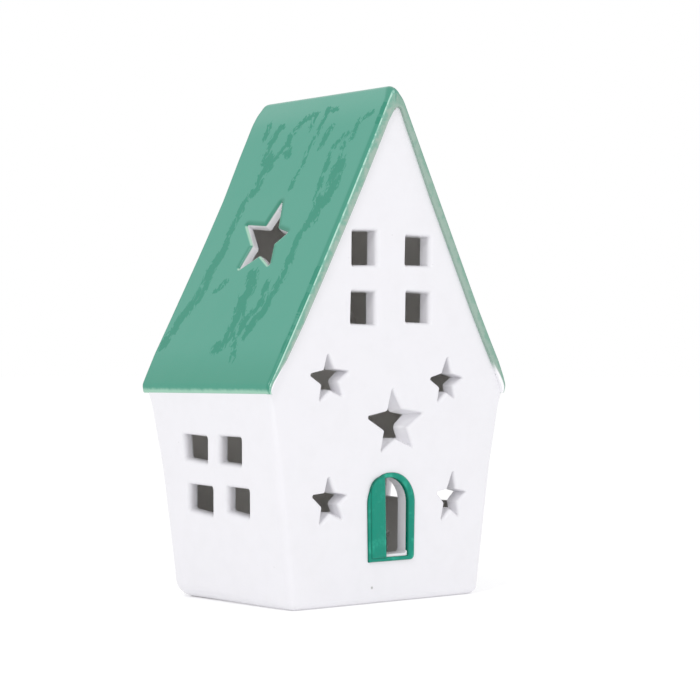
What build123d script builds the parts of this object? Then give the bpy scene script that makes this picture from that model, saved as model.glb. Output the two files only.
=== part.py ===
from build123d import *
import math
import os

os.makedirs("parts", exist_ok=True)

# A ceramic tealight house. Lengths are in millimetres. The house stands on Z = 0, its door
# gable looks along -Y, and the origin is the middle of its foot.

# Walls and floor
base_width = 73.4  # over the side walls, on the table
base_depth = 55.0  # over the end walls, on the table
soffit_height = 58.2  # where the side walls turn out to the eaves
end_wall_spread = 0.6  # of each end wall's outer face, from the table to the soffit
side_wall_thickness = 3.6  # measured level
end_wall_thickness = 4.3  # measured level
floor_thickness = 4.0
corner_round = 2.2  # upright outer corners and the outer edge of the foot

# Roof
eave_width = 94.2  # over the tips of both eaves
eave_rise = 4.4  # of those tips above the soffit
eave_overhang = 2.25  # of each tip past the side wall at the soffit
apex_height = 152.2  # where the slopes would meet if the ridge were sharp
roof_thickness = 2.9  # square to the slope
ridge_round = 1.9
fascia_height = 2.0
fascia_lean = 0.8
eave_round = 1.0
rim_round = 0.5
gable_overhang = 1.0  # of the roof past the end walls
roof_star_reach = 13.1
roof_star_rise = 48.8  # of its centre, up the slope from the eave tip

# Openings in the walls
gable_pane_width = 10.2
gable_pane_height = 9.0
gable_pane_spacing = 21.3
gable_pane_rise = 16.8
gable_panes_share = 0.35  # of the way from the eave tips up to the apex
side_pane_width = 10.4
side_pane_height = 7.5
left_pane_spacing = 16.8
left_pane_rise = 14.7
left_panes_height = 37.1
right_pane_spacing = 21.0
right_pane_rise = 11.0
right_panes_height = 36.3
big_star_reach = 10.7
big_star_offset = 1.8
big_star_height = 51.9
small_star_reach = 7.1
upper_star_spacing = 46.2
upper_star_height = 64.3
lower_star_spacing = 48.0
lower_star_height = 29.7
star_tips = 5
star_notch_share = 0.44  # of the reach of the tips

# Door
door_width = 19.0
door_height = 25.6
door_sill_height = 12.1
door_offset = -0.3
frame_band = 1.4  # left, top and bottom of the frame
frame_latch_band = 3.2  # right side of the frame
frame_relief = 0.7
leaf_width = 6.4
leaf_relief = 1.1

# Tealight
tealight_room = 3.9  # from the rim of the cup to each end wall, with the cup in the middle
cup_rim_reach = 0.5  # of the rim past the cup's wall
cup_height = 15.0
cup_wall = 0.35
cup_rim_height = 0.8
wax_drop = 1.8  # of the wax below the rim
wick_diameter = 1.4
wick_stand = 5.0  # of the wick above the wax
sustainer_diameter = 12.0
sustainer_thickness = 0.3
sustainer_neck_height = 3.0
sustainer_neck_wall = 0.5
tealight_offset = 1.0  # of the tealight towards the rear opening

# Clearances
tealight_seat_gap = 0.2  # under the cup
rear_opening_side_gap = 2.7  # beside the rim of the cup
rear_opening_head_gap = 0.9  # over the tip of the wick
rear_opening_round = 8.0
cut_overrun = 2.0  # of every cut past the wall that it cuts

# Slopes and heights that follow from the sizes above
cup_rim_diameter = base_depth - 2 * (end_wall_thickness + tealight_room)
cup_diameter = cup_rim_diameter - 2 * cup_rim_reach
soffit_width = eave_width - 2 * eave_overhang
side_lean = (soffit_width - base_width) / 2 / soffit_height
end_lean = end_wall_spread / soffit_height
eave_height = soffit_height + eave_rise
gable_panes_height = eave_height + gable_panes_share * (apex_height - eave_height)
slope_run = eave_width / 2
slope_rise = apex_height - eave_height
slope_length = math.hypot(slope_run, slope_rise)
underside_apex = apex_height - roof_thickness * slope_length / slope_run
fascia_foot_x = slope_run - fascia_lean
fascia_foot_height = eave_height - fascia_height
ridge_drop = ridge_round * (slope_length / slope_run - 1)
ridge_height = apex_height - ridge_drop
side_inner_foot = base_width / 2 - side_wall_thickness
long_reach = base_depth + eave_width  # more than the house is deep


def underside_x(height):
    """Half width of the attic under the roof slabs at a height."""
    return (underside_apex - height) * slope_run / slope_rise


# Where the inner face of a side wall meets the underside of the roof
inner_top_height = (underside_x(0) - side_inner_foot) / (side_lean + slope_run / slope_rise)
inner_top_x = underside_x(inner_top_height)


def end_plane(side, inset):
    """Plane of an end wall, facing out: side -1 is the front, 1 the rear."""
    return Plane(
        origin=(0, side * (base_depth / 2 - inset), 0),
        x_dir=(-side, 0, 0),
        z_dir=(0, side, -end_lean),
    )


def side_plane(side):
    """Outer plane of a side wall, facing out: side -1 is the left, 1 the right."""
    return Plane(
        origin=(side * base_width / 2, 0, 0),
        x_dir=(0, side, 0),
        z_dir=(side, 0, -side_lean),
    )


def slope_plane(side):
    """Plane of a roof slope, facing out, with its origin on the eave tip."""
    return Plane(
        origin=(side * slope_run, 0, eave_height),
        x_dir=(0, side, 0),
        z_dir=(side * slope_rise, 0, slope_run),
    )


def section(points):
    """Extrude a closed outline of the cross-section far past both end walls."""
    with BuildSketch(Plane.XZ) as profile:
        with BuildLine():
            Polyline(*points, close=True)
        make_face()
    extrude(profile.sketch, amount=long_reach, both=True)


def keep_between_ends(inset):
    """Trim the current part at the two end planes, inset from the outer faces."""
    for side in (-1, 1):
        split(bisect_by=end_plane(side, inset), keep=Keep.BOTTOM)


def star(reach):
    """A five-pointed star with one tip up, by formula, in the current sketch."""
    points = []
    for step in range(2 * star_tips):
        radius = reach * (star_notch_share if step % 2 else 1)
        angle = math.pi / 2 + step * math.pi / star_tips
        points.append((radius * math.cos(angle), radius * math.sin(angle)))
    Polygon(*points, align=None)


def arch(left, right, bottom, top):
    """An upright arch with a half-round head, in the current sketch."""
    head_radius = (right - left) / 2
    spring = top - head_radius
    with BuildLine() as outline:
        Polyline((left, spring), (left, bottom), (right, bottom), (right, spring))
        ThreePointArc((right, spring), (left + head_radius, top), (left, spring))
    make_face(outline.edges())


gable_outline = [
    (-base_width / 2, 0),
    (base_width / 2, 0),
    (soffit_width / 2, soffit_height),
    (fascia_foot_x, fascia_foot_height),
    (underside_x(fascia_foot_height), fascia_foot_height),
    (0, underside_apex),
    (-underside_x(fascia_foot_height), fascia_foot_height),
    (-fascia_foot_x, fascia_foot_height),
    (-soffit_width / 2, soffit_height),
]

# Door outline, and the doorway inside its frame
door_left = door_offset - door_width / 2
door_right = door_offset + door_width / 2
door_top = door_sill_height + door_height
inner_left = door_left + frame_band
inner_right = door_right - frame_latch_band
inner_bottom = door_sill_height + frame_band
inner_top = door_top - frame_band
leaf_edge = inner_left + leaf_width

# Tealight heights above the table
cup_bottom = floor_thickness + tealight_seat_gap
cup_floor_top = cup_bottom + cup_wall
wax_top = cup_bottom + cup_height - wax_drop
wick_tip = wax_top + wick_stand
rear_opening_width = cup_rim_diameter + 2 * rear_opening_side_gap
rear_opening_height = wick_tip + rear_opening_head_gap - floor_thickness

# Floor slab, which fills the foot between the walls
with BuildPart() as floor_slab:
    section(
        [
            (-side_inner_foot, 0),
            (side_inner_foot, 0),
            (side_inner_foot + side_lean * floor_thickness, floor_thickness),
            (-side_inner_foot - side_lean * floor_thickness, floor_thickness),
        ]
    )
    keep_between_ends(end_wall_thickness)
floor_slab.part.label = "floor_slab"
export_step(floor_slab.part, "parts/floor_slab.step")

# Front wall, with the door gable's panes, stars and doorway
with BuildPart() as front_wall:
    section(gable_outline)
    split(bisect_by=end_plane(-1, 0), keep=Keep.BOTTOM)
    split(bisect_by=end_plane(-1, end_wall_thickness), keep=Keep.TOP)
    foot_edges = front_wall.edges().group_by(Axis.Z)[0].sort_by(Axis.Y)[:-1]
    face_edges = front_wall.faces().sort_by(Axis.Y)[0].edges().group_by(Axis.Z)
    fillet([*foot_edges, *face_edges[1]], corner_round)
    with BuildSketch(end_plane(-1, 0)):
        with Locations((0, gable_panes_height)):
            with GridLocations(gable_pane_spacing, gable_pane_rise, 2, 2):
                Rectangle(gable_pane_width, gable_pane_height)
        with Locations((big_star_offset, big_star_height)):
            star(big_star_reach)
        with Locations((0, upper_star_height)):
            with GridLocations(upper_star_spacing, 0, 2, 1):
                star(small_star_reach)
        with Locations((0, lower_star_height)):
            with GridLocations(lower_star_spacing, 0, 2, 1):
                star(small_star_reach)
    extrude(amount=end_wall_thickness + cut_overrun, both=True, mode=Mode.SUBTRACT)
    with BuildSketch(end_plane(-1, 0)):
        arch(inner_left, inner_right, inner_bottom, inner_top)
        with Locations((leaf_edge, inner_bottom)):
            Rectangle(door_width, door_height, align=(Align.MAX, Align.MIN), mode=Mode.SUBTRACT)
    extrude(amount=end_wall_thickness + cut_overrun, both=True, mode=Mode.SUBTRACT)
front_wall.part.label = "front_wall"
export_step(front_wall.part, "parts/front_wall.step")

# Rear wall, with the low opening that the tealight goes in through
with BuildPart() as rear_wall:
    section(gable_outline)
    split(bisect_by=end_plane(1, 0), keep=Keep.BOTTOM)
    split(bisect_by=end_plane(1, end_wall_thickness), keep=Keep.TOP)
    foot_edges = rear_wall.edges().group_by(Axis.Z)[0].sort_by(Axis.Y)[1:]
    face_edges = rear_wall.faces().sort_by(Axis.Y)[-1].edges().group_by(Axis.Z)
    fillet([*foot_edges, *face_edges[1]], corner_round)
    with BuildSketch(end_plane(1, 0)) as rear_opening:
        with Locations((0, floor_thickness)):
            Rectangle(rear_opening_width, rear_opening_height, align=(Align.CENTER, Align.MIN))
        fillet(rear_opening.vertices().group_by(Axis.Y)[-1], rear_opening_round)
    extrude(amount=end_wall_thickness + cut_overrun, both=True, mode=Mode.SUBTRACT)
rear_wall.part.label = "rear_wall"
export_step(rear_wall.part, "parts/rear_wall.step")

# Side walls, each with four panes, and turned out under the eaves
for side, wall_name, pane_spacing, pane_rise, panes_height in (
    (-1, "left_wall", left_pane_spacing, left_pane_rise, left_panes_height),
    (1, "right_wall", right_pane_spacing, right_pane_rise, right_panes_height),
):
    with BuildPart() as side_wall:
        section(
            [
                (side * base_width / 2, 0),
                (side * soffit_width / 2, soffit_height),
                (side * fascia_foot_x, fascia_foot_height),
                (side * underside_x(fascia_foot_height), fascia_foot_height),
                (side * inner_top_x, inner_top_height),
                (side * side_inner_foot, 0),
            ]
        )
        keep_between_ends(end_wall_thickness)
        outer_foot_edge = side_wall.edges().filter_by(Axis.Y).group_by(Axis.Z)[0].sort_by(Axis.X)
        fillet(outer_foot_edge[0 if side < 0 else -1], corner_round)
        with BuildSketch(side_plane(side)):
            with Locations((0, panes_height)):
                with GridLocations(pane_spacing, pane_rise, 2, 2):
                    Rectangle(side_pane_width, side_pane_height)
        extrude(amount=side_wall_thickness + cut_overrun, both=True, mode=Mode.SUBTRACT)
    side_wall.part.label = wall_name
    export_step(side_wall.part, f"parts/{wall_name}.step")

# Roof slabs, which meet in the middle of the rounded ridge; only the left one has a star
ridge_tangent_x = ridge_round * slope_rise / slope_length
ridge_tangent_height = ridge_height - ridge_round * (1 - slope_run / slope_length)
ridge_middle_angle = math.atan2(slope_run, slope_rise) / 2 + math.pi / 4
ridge_middle_x = ridge_round * math.cos(ridge_middle_angle)
ridge_middle_height = ridge_height - ridge_round * (1 - math.sin(ridge_middle_angle))

for side, roof_name in ((-1, "left_roof"), (1, "right_roof")):
    with BuildPart() as roof:
        with BuildSketch(Plane.XZ):
            with BuildLine():
                Polyline(
                    (side * ridge_tangent_x, ridge_tangent_height),
                    (side * slope_run, eave_height),
                    (side * fascia_foot_x, fascia_foot_height),
                    (side * underside_x(fascia_foot_height), fascia_foot_height),
                    (0, underside_apex),
                    (0, ridge_height),
                )
                ThreePointArc(
                    (0, ridge_height),
                    (side * ridge_middle_x, ridge_middle_height),
                    (side * ridge_tangent_x, ridge_tangent_height),
                )
            make_face()
        extrude(amount=long_reach, both=True)
        keep_between_ends(-gable_overhang)
        eave_tip_edge = roof.edges().filter_by(Axis.Y).sort_by(Axis.X)[0 if side < 0 else -1]
        fillet(eave_tip_edge, eave_round)
        slope_face = roof.faces().sort_by(SortBy.AREA)[-1]
        slope_ends = slope_face.edges().sort_by(Axis.Y)
        fillet([slope_ends[0], slope_ends[-1]], rim_round)
        if side < 0:
            with BuildSketch(slope_plane(side)):
                with Locations((0, roof_star_rise)):
                    star(roof_star_reach)
            extrude(amount=roof_thickness + cut_overrun, both=True, mode=Mode.SUBTRACT)
    roof.part.label = roof_name
    export_step(roof.part, f"parts/{roof_name}.step")

# Raised frame round the door, wider on its latch side
with BuildPart() as door_surround:
    with BuildSketch(end_plane(-1, 0)):
        arch(door_left, door_right, door_sill_height, door_top)
    extrude(amount=frame_relief)
    with BuildSketch(end_plane(-1, 0)):
        arch(inner_left, inner_right, inner_bottom, inner_top)
    extrude(amount=frame_relief + cut_overrun, mode=Mode.SUBTRACT)
door_surround.part.label = "door_surround"
export_step(door_surround.part, "parts/door_surround.step")

# The half of the door that is shut, raised a little past its frame
with BuildPart() as door_leaf:
    with BuildSketch(end_plane(-1, 0)):
        arch(inner_left, inner_right, inner_bottom, inner_top)
        with Locations((leaf_edge, inner_bottom)):
            Rectangle(door_width, door_height, align=(Align.MIN, Align.MIN), mode=Mode.SUBTRACT)
    extrude(amount=leaf_relief)
door_leaf.part.label = "door_leaf"
export_step(door_leaf.part, "parts/door_leaf.step")

# Tealight: each piece is turned about the same upright axis
tealight_plane = Plane(origin=(0, tealight_offset, 0), x_dir=(1, 0, 0), z_dir=(0, -1, 0))
tealight_axis = Axis((0, tealight_offset, 0), (0, 0, 1))
cup_radius = cup_diameter / 2
cup_bore_radius = cup_radius - cup_wall
cup_rim_radius = cup_rim_diameter / 2
cup_top = cup_bottom + cup_height
wick_radius = wick_diameter / 2
neck_radius = wick_radius + sustainer_neck_wall
sustainer_radius = sustainer_diameter / 2
sustainer_top = cup_floor_top + sustainer_thickness
neck_top = sustainer_top + sustainer_neck_height

with BuildPart() as tealight_cup:
    with BuildSketch(tealight_plane):
        with BuildLine():
            Polyline(
                (0, cup_bottom),
                (cup_radius, cup_bottom),
                (cup_radius, cup_top - cup_rim_height),
                (cup_rim_radius, cup_top - cup_rim_height),
                (cup_rim_radius, cup_top),
                (cup_bore_radius, cup_top),
                (cup_bore_radius, cup_floor_top),
                (0, cup_floor_top),
                close=True,
            )
        make_face()
    revolve(axis=tealight_axis)
tealight_cup.part.label = "tealight_cup"
export_step(tealight_cup.part, "parts/tealight_cup.step")

with BuildPart() as tealight_wax:
    with BuildSketch(tealight_plane):
        with BuildLine():
            Polyline(
                (sustainer_radius, cup_floor_top),
                (cup_bore_radius, cup_floor_top),
                (cup_bore_radius, wax_top),
                (wick_radius, wax_top),
                (wick_radius, neck_top),
                (neck_radius, neck_top),
                (neck_radius, sustainer_top),
                (sustainer_radius, sustainer_top),
                close=True,
            )
        make_face()
    revolve(axis=tealight_axis)
tealight_wax.part.label = "tealight_wax"
export_step(tealight_wax.part, "parts/tealight_wax.step")

with BuildPart() as wick_sustainer:
    with BuildSketch(tealight_plane):
        with BuildLine():
            Polyline(
                (0, cup_floor_top),
                (sustainer_radius, cup_floor_top),
                (sustainer_radius, sustainer_top),
                (neck_radius, sustainer_top),
                (neck_radius, neck_top),
                (wick_radius, neck_top),
                (wick_radius, sustainer_top),
                (0, sustainer_top),
                close=True,
            )
        make_face()
    revolve(axis=tealight_axis)
wick_sustainer.part.label = "wick_sustainer"
export_step(wick_sustainer.part, "parts/wick_sustainer.step")

with BuildPart() as tealight_wick:
    with BuildSketch(Plane.XY.offset(sustainer_top)):
        with Locations((0, tealight_offset)):
            Circle(wick_radius)
    extrude(amount=wick_tip - sustainer_top)
    fillet(tealight_wick.edges().sort_by(Axis.Z)[-1], wick_radius / 2)
tealight_wick.part.label = "tealight_wick"
export_step(tealight_wick.part, "parts/tealight_wick.step")

print(f"ridge {ridge_height:.2f}, depth over the roof at the ridge "
      f"{base_depth + 2 * (gable_overhang + end_lean * ridge_height):.2f}")
print(f"rear opening {rear_opening_width:.2f} wide, top at {floor_thickness + rear_opening_height:.2f}")
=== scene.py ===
"""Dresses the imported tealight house: a hand-cut white body, brush-glazed green roof and door, and a tealight.

Lengths are in millimetres unless a name or docstring says metres. Every mesh is scaled to metres once, when
it is made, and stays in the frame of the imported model: the house stands on Z = 0, its door gable looks
along -Y, and the slope with the star is on the -X side.
"""

import logging
import math
from dataclasses import dataclass, field, replace
from enum import Enum
from typing import Callable, ClassVar, Sequence

import bmesh
import bpy
import numpy as np
from mathutils import Matrix, Vector
from mathutils.geometry import delaunay_2d_cdt

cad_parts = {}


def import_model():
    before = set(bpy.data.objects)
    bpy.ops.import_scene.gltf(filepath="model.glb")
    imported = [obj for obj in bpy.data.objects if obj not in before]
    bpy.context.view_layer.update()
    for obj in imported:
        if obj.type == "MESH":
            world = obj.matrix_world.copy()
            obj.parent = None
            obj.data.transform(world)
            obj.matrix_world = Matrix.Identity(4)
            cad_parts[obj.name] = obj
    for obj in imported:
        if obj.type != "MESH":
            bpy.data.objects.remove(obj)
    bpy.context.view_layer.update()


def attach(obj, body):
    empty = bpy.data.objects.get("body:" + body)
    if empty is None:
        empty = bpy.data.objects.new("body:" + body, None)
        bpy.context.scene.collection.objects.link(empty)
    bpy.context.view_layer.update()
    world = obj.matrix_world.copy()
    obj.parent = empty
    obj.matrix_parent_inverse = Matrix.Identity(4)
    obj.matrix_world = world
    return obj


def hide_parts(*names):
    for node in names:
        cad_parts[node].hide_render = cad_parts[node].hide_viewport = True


log = logging.getLogger("tealight_house")

MM = 0.001  # metres in a millimetre
QUARTER_TURN = math.pi / 2
WELD_GAP = 2e-6  # metres; points nearer than this are one point
CREASE_ANGLE = math.radians(42)
FAR_FROM_EDGE = 6.0  # value of an edge distance attribute away from every edge
SAME_POINT = 1e-7  # the triangulation takes two points nearer than this as one
FILL_INSIDE = 1  # the triangulation keeps the triangles within its outline
TINY = 1e-6  # keeps a division from zero, and the middle line out of a half

Array = np.ndarray
Material = bpy.types.Material
Piece = bpy.types.Object
Socket = bpy.types.NodeSocket
Inputs = dict[str | int, object]
Colour = tuple[float, ...]
Pair = tuple[float, float]
Place = tuple[float, float, float]
Corners = tuple[float, float, float, float]


class Side(Enum):
    """Which way a wall or a slope faces along its own axis."""

    LOW = -1
    HIGH = 1


def new_object(name: str, data: bpy.types.ID) -> Piece:
    """A new object in the scene, at the origin, for a mesh, a camera or a lamp."""
    thing = bpy.data.objects.new(name, data)
    bpy.context.scene.collection.objects.link(thing)
    return thing


# Mesh building


def smooth_step(values: Array) -> Array:
    """Ease from 0 to 1: 3 t^2 - 2 t^3, with t held between 0 and 1.

    Args:
        values: Numbers of any shape.

    Returns:
        The eased numbers, of the same shape.
    """
    t = np.clip(values, 0.0, 1.0)
    return t * t * (3.0 - 2.0 * t)


def unit(vectors: Array) -> Array:
    """Rows of vectors scaled to length 1."""
    return vectors / np.linalg.norm(vectors, axis=1, keepdims=True)


def between(places: Array, knots: Array, table: Array) -> Array:
    """Rows of a table read between its knots, as straight lines."""
    return np.stack([np.interp(places, knots, column) for column in table.T], axis=1)


def inside_loop(points: Array, loop: Array) -> Array:
    """Tell which points lie in a closed loop, by counting the loop's edges to the right of each.

    Args:
        points: Points in the plane, (n, 2).
        loop: Corners of the closed loop, (m, 2).

    Returns:
        A mask of n truth values.
    """
    ax, ay = loop[:, 0], loop[:, 1]
    bx, by = np.roll(ax, -1), np.roll(ay, -1)
    px, py = points[:, :1], points[:, 1:]
    spans = (ay > py) != (by > py)
    rise = np.where(by == ay, 1.0, by - ay)
    crossing = ax + (py - ay) * (bx - ax) / rise
    return (spans & (px < crossing)).sum(axis=1) % 2 == 1


def triangulate(outer: Array, holes: Sequence[Array], scattered: Array) -> tuple[Array, Array]:
    """Fill a flat region with triangles that keep its outline and the outlines of its holes.

    Args:
        outer: Outline of the region, (n, 2).
        holes: Outlines of the holes.
        scattered: Points to use in the region, (m, 2); those outside it are dropped.

    Returns:
        A mask of the scattered points kept, and the triangles as rows of indices into the outlines' points
        and the kept ones.
    """
    loops = [outer, *holes]
    keep = inside_loop(scattered, outer) if len(scattered) else np.zeros(0, bool)
    for hole in holes:
        keep &= ~inside_loop(scattered, hole)
    points = np.concatenate([*loops, scattered[keep]])
    edges: list[tuple[int, int]] = []
    start = 0
    for loop in loops:
        count = len(loop)
        edges += [(start + k, start + (k + 1) % count) for k in range(count)]
        start += count
    vectors = [Vector(point) for point in points]
    _, _, faces, origins, _, _ = delaunay_2d_cdt(vectors, edges, [], FILL_INSIDE, SAME_POINT)
    source = np.array([ids[0] for ids in origins])
    triangles = source[np.array(faces)]
    middles = points[triangles].mean(axis=1)
    wanted = inside_loop(middles, outer)
    for hole in holes:
        wanted &= ~inside_loop(middles, hole)
    return keep, triangles[wanted]


@dataclass(frozen=True)
class Loop:
    """A closed outline, in the plane where a fill is worked out and in space."""

    flat: Array
    solid: Array


NO_POINTS = Loop(np.zeros((0, 2)), np.zeros((0, 3)))


@dataclass
class Skin:
    """Patches of surface gathered for one piece, in millimetres, and welded into one closed mesh.

    Attributes:
        defaults: Value of each point attribute where a patch doesn't give it.
        inner: How far each face lies inside the house, from 0 to 1: the mean of its points' own values.
    """

    defaults: dict[str, float] = field(default_factory=dict)
    points: list[Array] = field(default_factory=list)
    faces: list[list[int]] = field(default_factory=list)
    facts: dict[str, list[Array]] = field(default_factory=dict)
    inner: list[Array] = field(default_factory=list)
    count: int = 0

    def add(self, points: Array, faces: Array, inside: Array | float = 0.0, **facts: Array | float) -> None:
        """Add a patch.

        Args:
            points: Its points, (n, 3).
            faces: Its faces, rows of indices into those points.
            inside: Whether it lies inside the house, one number or n numbers.
            **facts: Point attributes by name, each one number or n numbers.
        """
        self.points.append(points)
        self.inner.append(np.broadcast_to(inside, (len(points),))[np.asarray(faces)].mean(axis=1))
        self.faces += (np.asarray(faces) + self.count).tolist()
        for name, value in self.defaults.items():
            values = np.broadcast_to(facts.get(name, value), (len(points),))
            self.facts.setdefault(name, []).append(values.astype(float))
        self.count += len(points)

    def add_fill(self, outer: Loop, holes: Sequence[Loop] = (), scattered: Loop = NO_POINTS,
                 flat_facts: Sequence[str] = (), **facts: float) -> None:
        """Add a filled region with holes.

        Args:
            outer: Outline of the region.
            holes: Outlines of its holes.
            scattered: Points to use in it.
            flat_facts: The two point attributes that take the flat coordinates, if any.
            **facts: Other point attributes, each one number.
        """
        keep, triangles = triangulate(outer.flat, [hole.flat for hole in holes], scattered.flat)
        flat = np.concatenate([outer.flat, *(hole.flat for hole in holes), scattered.flat[keep]])
        solid = np.concatenate([outer.solid, *(hole.solid for hole in holes), scattered.solid[keep]])
        self.add(solid, triangles, **facts, **dict(zip(flat_facts, flat.T)))

    def add_grid(self, rows: Array, closed: bool = False, window: tuple[int, int, int, int] | None = None,
                 **facts: Array | float) -> None:
        """Add a grid of quads between rows of points.

        Args:
            rows: Points, (rows, columns, 3).
            closed: Whether the last column joins the first.
            window: First and last row, then first and last column, of a part to leave open.
            **facts: Point attributes, each one number, one for each row or one for each point.
        """
        tall, wide = rows.shape[:2]
        index = np.arange(tall * wide).reshape(tall, wide)
        ahead = np.roll(index, -1, axis=1) if closed else index[:, 1:]
        here = index if closed else index[:, :-1]
        faces = np.stack([here[:-1], ahead[:-1], ahead[1:], here[1:]], axis=-1)
        shown = np.ones(faces.shape[:2], bool)
        if window:
            shown[window[0]:window[1], window[2]:window[3]] = False
        faces = faces[shown]
        spread = {}
        for name, value in facts.items():
            array = np.asarray(value, float)
            column = array[:, None] if array.ndim == 1 else array
            spread[name] = np.broadcast_to(column, (tall, wide)).reshape(-1)
        self.add(rows.reshape(-1, 3), faces, **spread)

    def build(self, name: str, finish: Material, slot: str, body: str) -> Piece:
        """Weld the patches into a mesh object, turn its faces outwards and set it on its body.

        Args:
            name: Name of the piece.
            finish: Its material.
            slot: The record's material slot; not used.
            body: The body it rides on.

        Returns:
            The new object.
        """
        mesh = bpy.data.meshes.new(name)
        mesh.from_pydata((np.concatenate(self.points) * MM).tolist(), [], self.faces)
        layers = [("inside", "FACE", self.inner)]
        layers += [(fact, "POINT", values) for fact, values in self.facts.items()]
        for layer_name, domain, values in layers:
            layer = mesh.attributes.new(layer_name, "FLOAT", domain)
            layer.data.foreach_set("value", np.concatenate(values).astype(np.float32))
        work = bmesh.new()
        work.from_mesh(mesh)
        bmesh.ops.remove_doubles(work, verts=work.verts, dist=WELD_GAP)
        bmesh.ops.dissolve_degenerate(work, dist=WELD_GAP / 2, edges=work.edges)
        bmesh.ops.recalc_face_normals(work, faces=work.faces)
        open_edges = sum(not edge.is_manifold for edge in work.edges)
        work.to_mesh(mesh)
        work.free()
        mesh.polygons.foreach_set("use_smooth", np.ones(len(mesh.polygons), bool))
        mesh.set_sharp_from_angle(angle=CREASE_ANGLE)
        mesh.materials.append(finish)
        piece = new_object(name, mesh)
        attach(piece, body)
        counts = (len(mesh.vertices), len(mesh.polygons), open_edges)
        log.info("%s: %d points, %d faces, %d open edges", name, *counts)
        return piece


@dataclass(frozen=True)
class Cutout:
    """A hand-cut outline: a polygon whose parallels keep rounded corners.

    Attributes:
        corners, rounds: Its corners, counter-clockwise, and the radius of each.
        arc_steps, edge_steps: Points on each rounded corner, and between two of them.
        least_round: Smallest radius that a corner keeps on a parallel.
    """

    corners: Array
    rounds: Array
    arc_steps: int = 6
    edge_steps: int = 3
    least_round: float = 0.04

    def ring(self, offset: float) -> Array:
        """Outline moved out by offset.

        Each edge moves along its normal, corner k goes to p + offset (n1 + n2) / (1 + n1 n2), and a circle
        of the corner's radius, larger outside a convex corner and smaller in a notch, rounds it. All rings of
        one outline have as many points, in the same order.

        Args:
            offset: How far out, negative for in.

        Returns:
            Points of the ring, (k * (arc_steps + edge_steps), 2).
        """
        ahead = unit(np.roll(self.corners, -1, axis=0) - self.corners)
        after = np.stack([ahead[:, 1], -ahead[:, 0]], axis=1)
        before = np.roll(after, 1, axis=0)
        cosine = (before * after).sum(axis=1)
        turn = np.arctan2(before[:, 0] * after[:, 1] - before[:, 1] * after[:, 0], cosine)
        sign = np.where(turn < 0, -1.0, 1.0)
        radius = np.maximum(self.rounds + sign * offset, self.least_round)
        bisector = (before + after) / (1 + cosine)[:, None]
        tips = self.corners + offset * bisector
        angle = np.linspace(0, 1, self.arc_steps)[None, :] * turn[:, None]
        across = np.stack([-before[:, 1], before[:, 0]], axis=1)
        normal = np.cos(angle)[..., None] * before[:, None] + np.sin(angle)[..., None] * across[:, None]
        arcs = tips[:, None] + (sign * radius)[:, None, None] * (normal - bisector[:, None])
        leave, arrive = arcs[:, -1:], np.roll(arcs, -1, axis=0)[:, :1]
        share = np.linspace(0, 1, self.edge_steps + 2)[1:-1][None, :, None]
        edges = leave + (arrive - leave) * share
        return np.concatenate([arcs, edges], axis=1).reshape(-1, 2)


def star_outline(
    centre: Pair,
    reaches: Sequence[float],
    turns: Sequence[float],
    notch_share: float = 0.44,
    tip_round: float = 0.25,
    notch_round: float = 0.7,
) -> Cutout:
    """A five-pointed star cut by hand.

    Tip k stands at 90 + 72 k + turn k degrees, and each notch halfway between its two tips, at a share of
    their mean reach.

    Args:
        centre: Middle of the star.
        reaches: Reach of each tip, counter-clockwise from the top.
        turns: Degrees that each tip is turned from its regular place.
        notch_share: Reach of the notches over that of the tips.
        tip_round: Radius of the tips.
        notch_round: Radius of the notches.

    Returns:
        The outline.
    """
    tips = len(reaches)
    reach = np.array(reaches)
    angle = np.radians(90 + 360 / tips * np.arange(tips) + np.array(turns))
    next_angle = np.roll(angle, -1) + np.where(np.arange(tips) == tips - 1, 2 * math.pi, 0)
    notch_angle = (angle + next_angle) / 2
    notch_reach = (reach + np.roll(reach, -1)) / 2 * notch_share
    reaches_in_turn = np.stack([reach, notch_reach], axis=1).reshape(-1, 1)
    angles_in_turn = np.stack([angle, notch_angle], axis=1).reshape(-1)
    corners = reaches_in_turn * np.stack([np.cos(angles_in_turn), np.sin(angles_in_turn)], axis=1)
    rounds = np.tile([tip_round, notch_round], tips)
    return Cutout(corners + np.array(centre), rounds, arc_steps=6, edge_steps=2)


def rounded_path(corners: Array, radii: Sequence[float], arc_steps: int = 25) -> Array:
    """An open path with its inner corners replaced by arcs.

    Each arc starts r tan(turn / 2) before its corner and turns evenly to the next edge.

    Args:
        corners: Corners of the path, (n, 2).
        radii: Radius at each corner; the first and last are not used.
        arc_steps: Points on each arc.

    Returns:
        Points of the path.
    """
    pieces = [corners[:1]]
    for before, corner, after, radius in zip(corners, corners[1:], corners[2:], radii[1:]):
        into = (corner - before) / np.linalg.norm(corner - before)
        out = (after - corner) / np.linalg.norm(after - corner)
        turn = math.atan2(into[0] * out[1] - into[1] * out[0], float(into @ out))
        left = np.array([-into[1], into[0]]) * math.copysign(1, turn)
        start = corner - into * radius * math.tan(abs(turn) / 2)
        angle = np.linspace(0, abs(turn), arc_steps)[:, None]
        pieces.append(start + radius * (np.sin(angle) * into + (1 - np.cos(angle)) * left))
    pieces.append(corners[-1:])
    return np.concatenate(pieces)


def path_lengths(path: Array) -> Array:
    """Length of a path up to each of its points."""
    return np.concatenate([[0.0], np.cumsum(np.linalg.norm(np.diff(path, axis=0), axis=1))])


# Sizes


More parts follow.
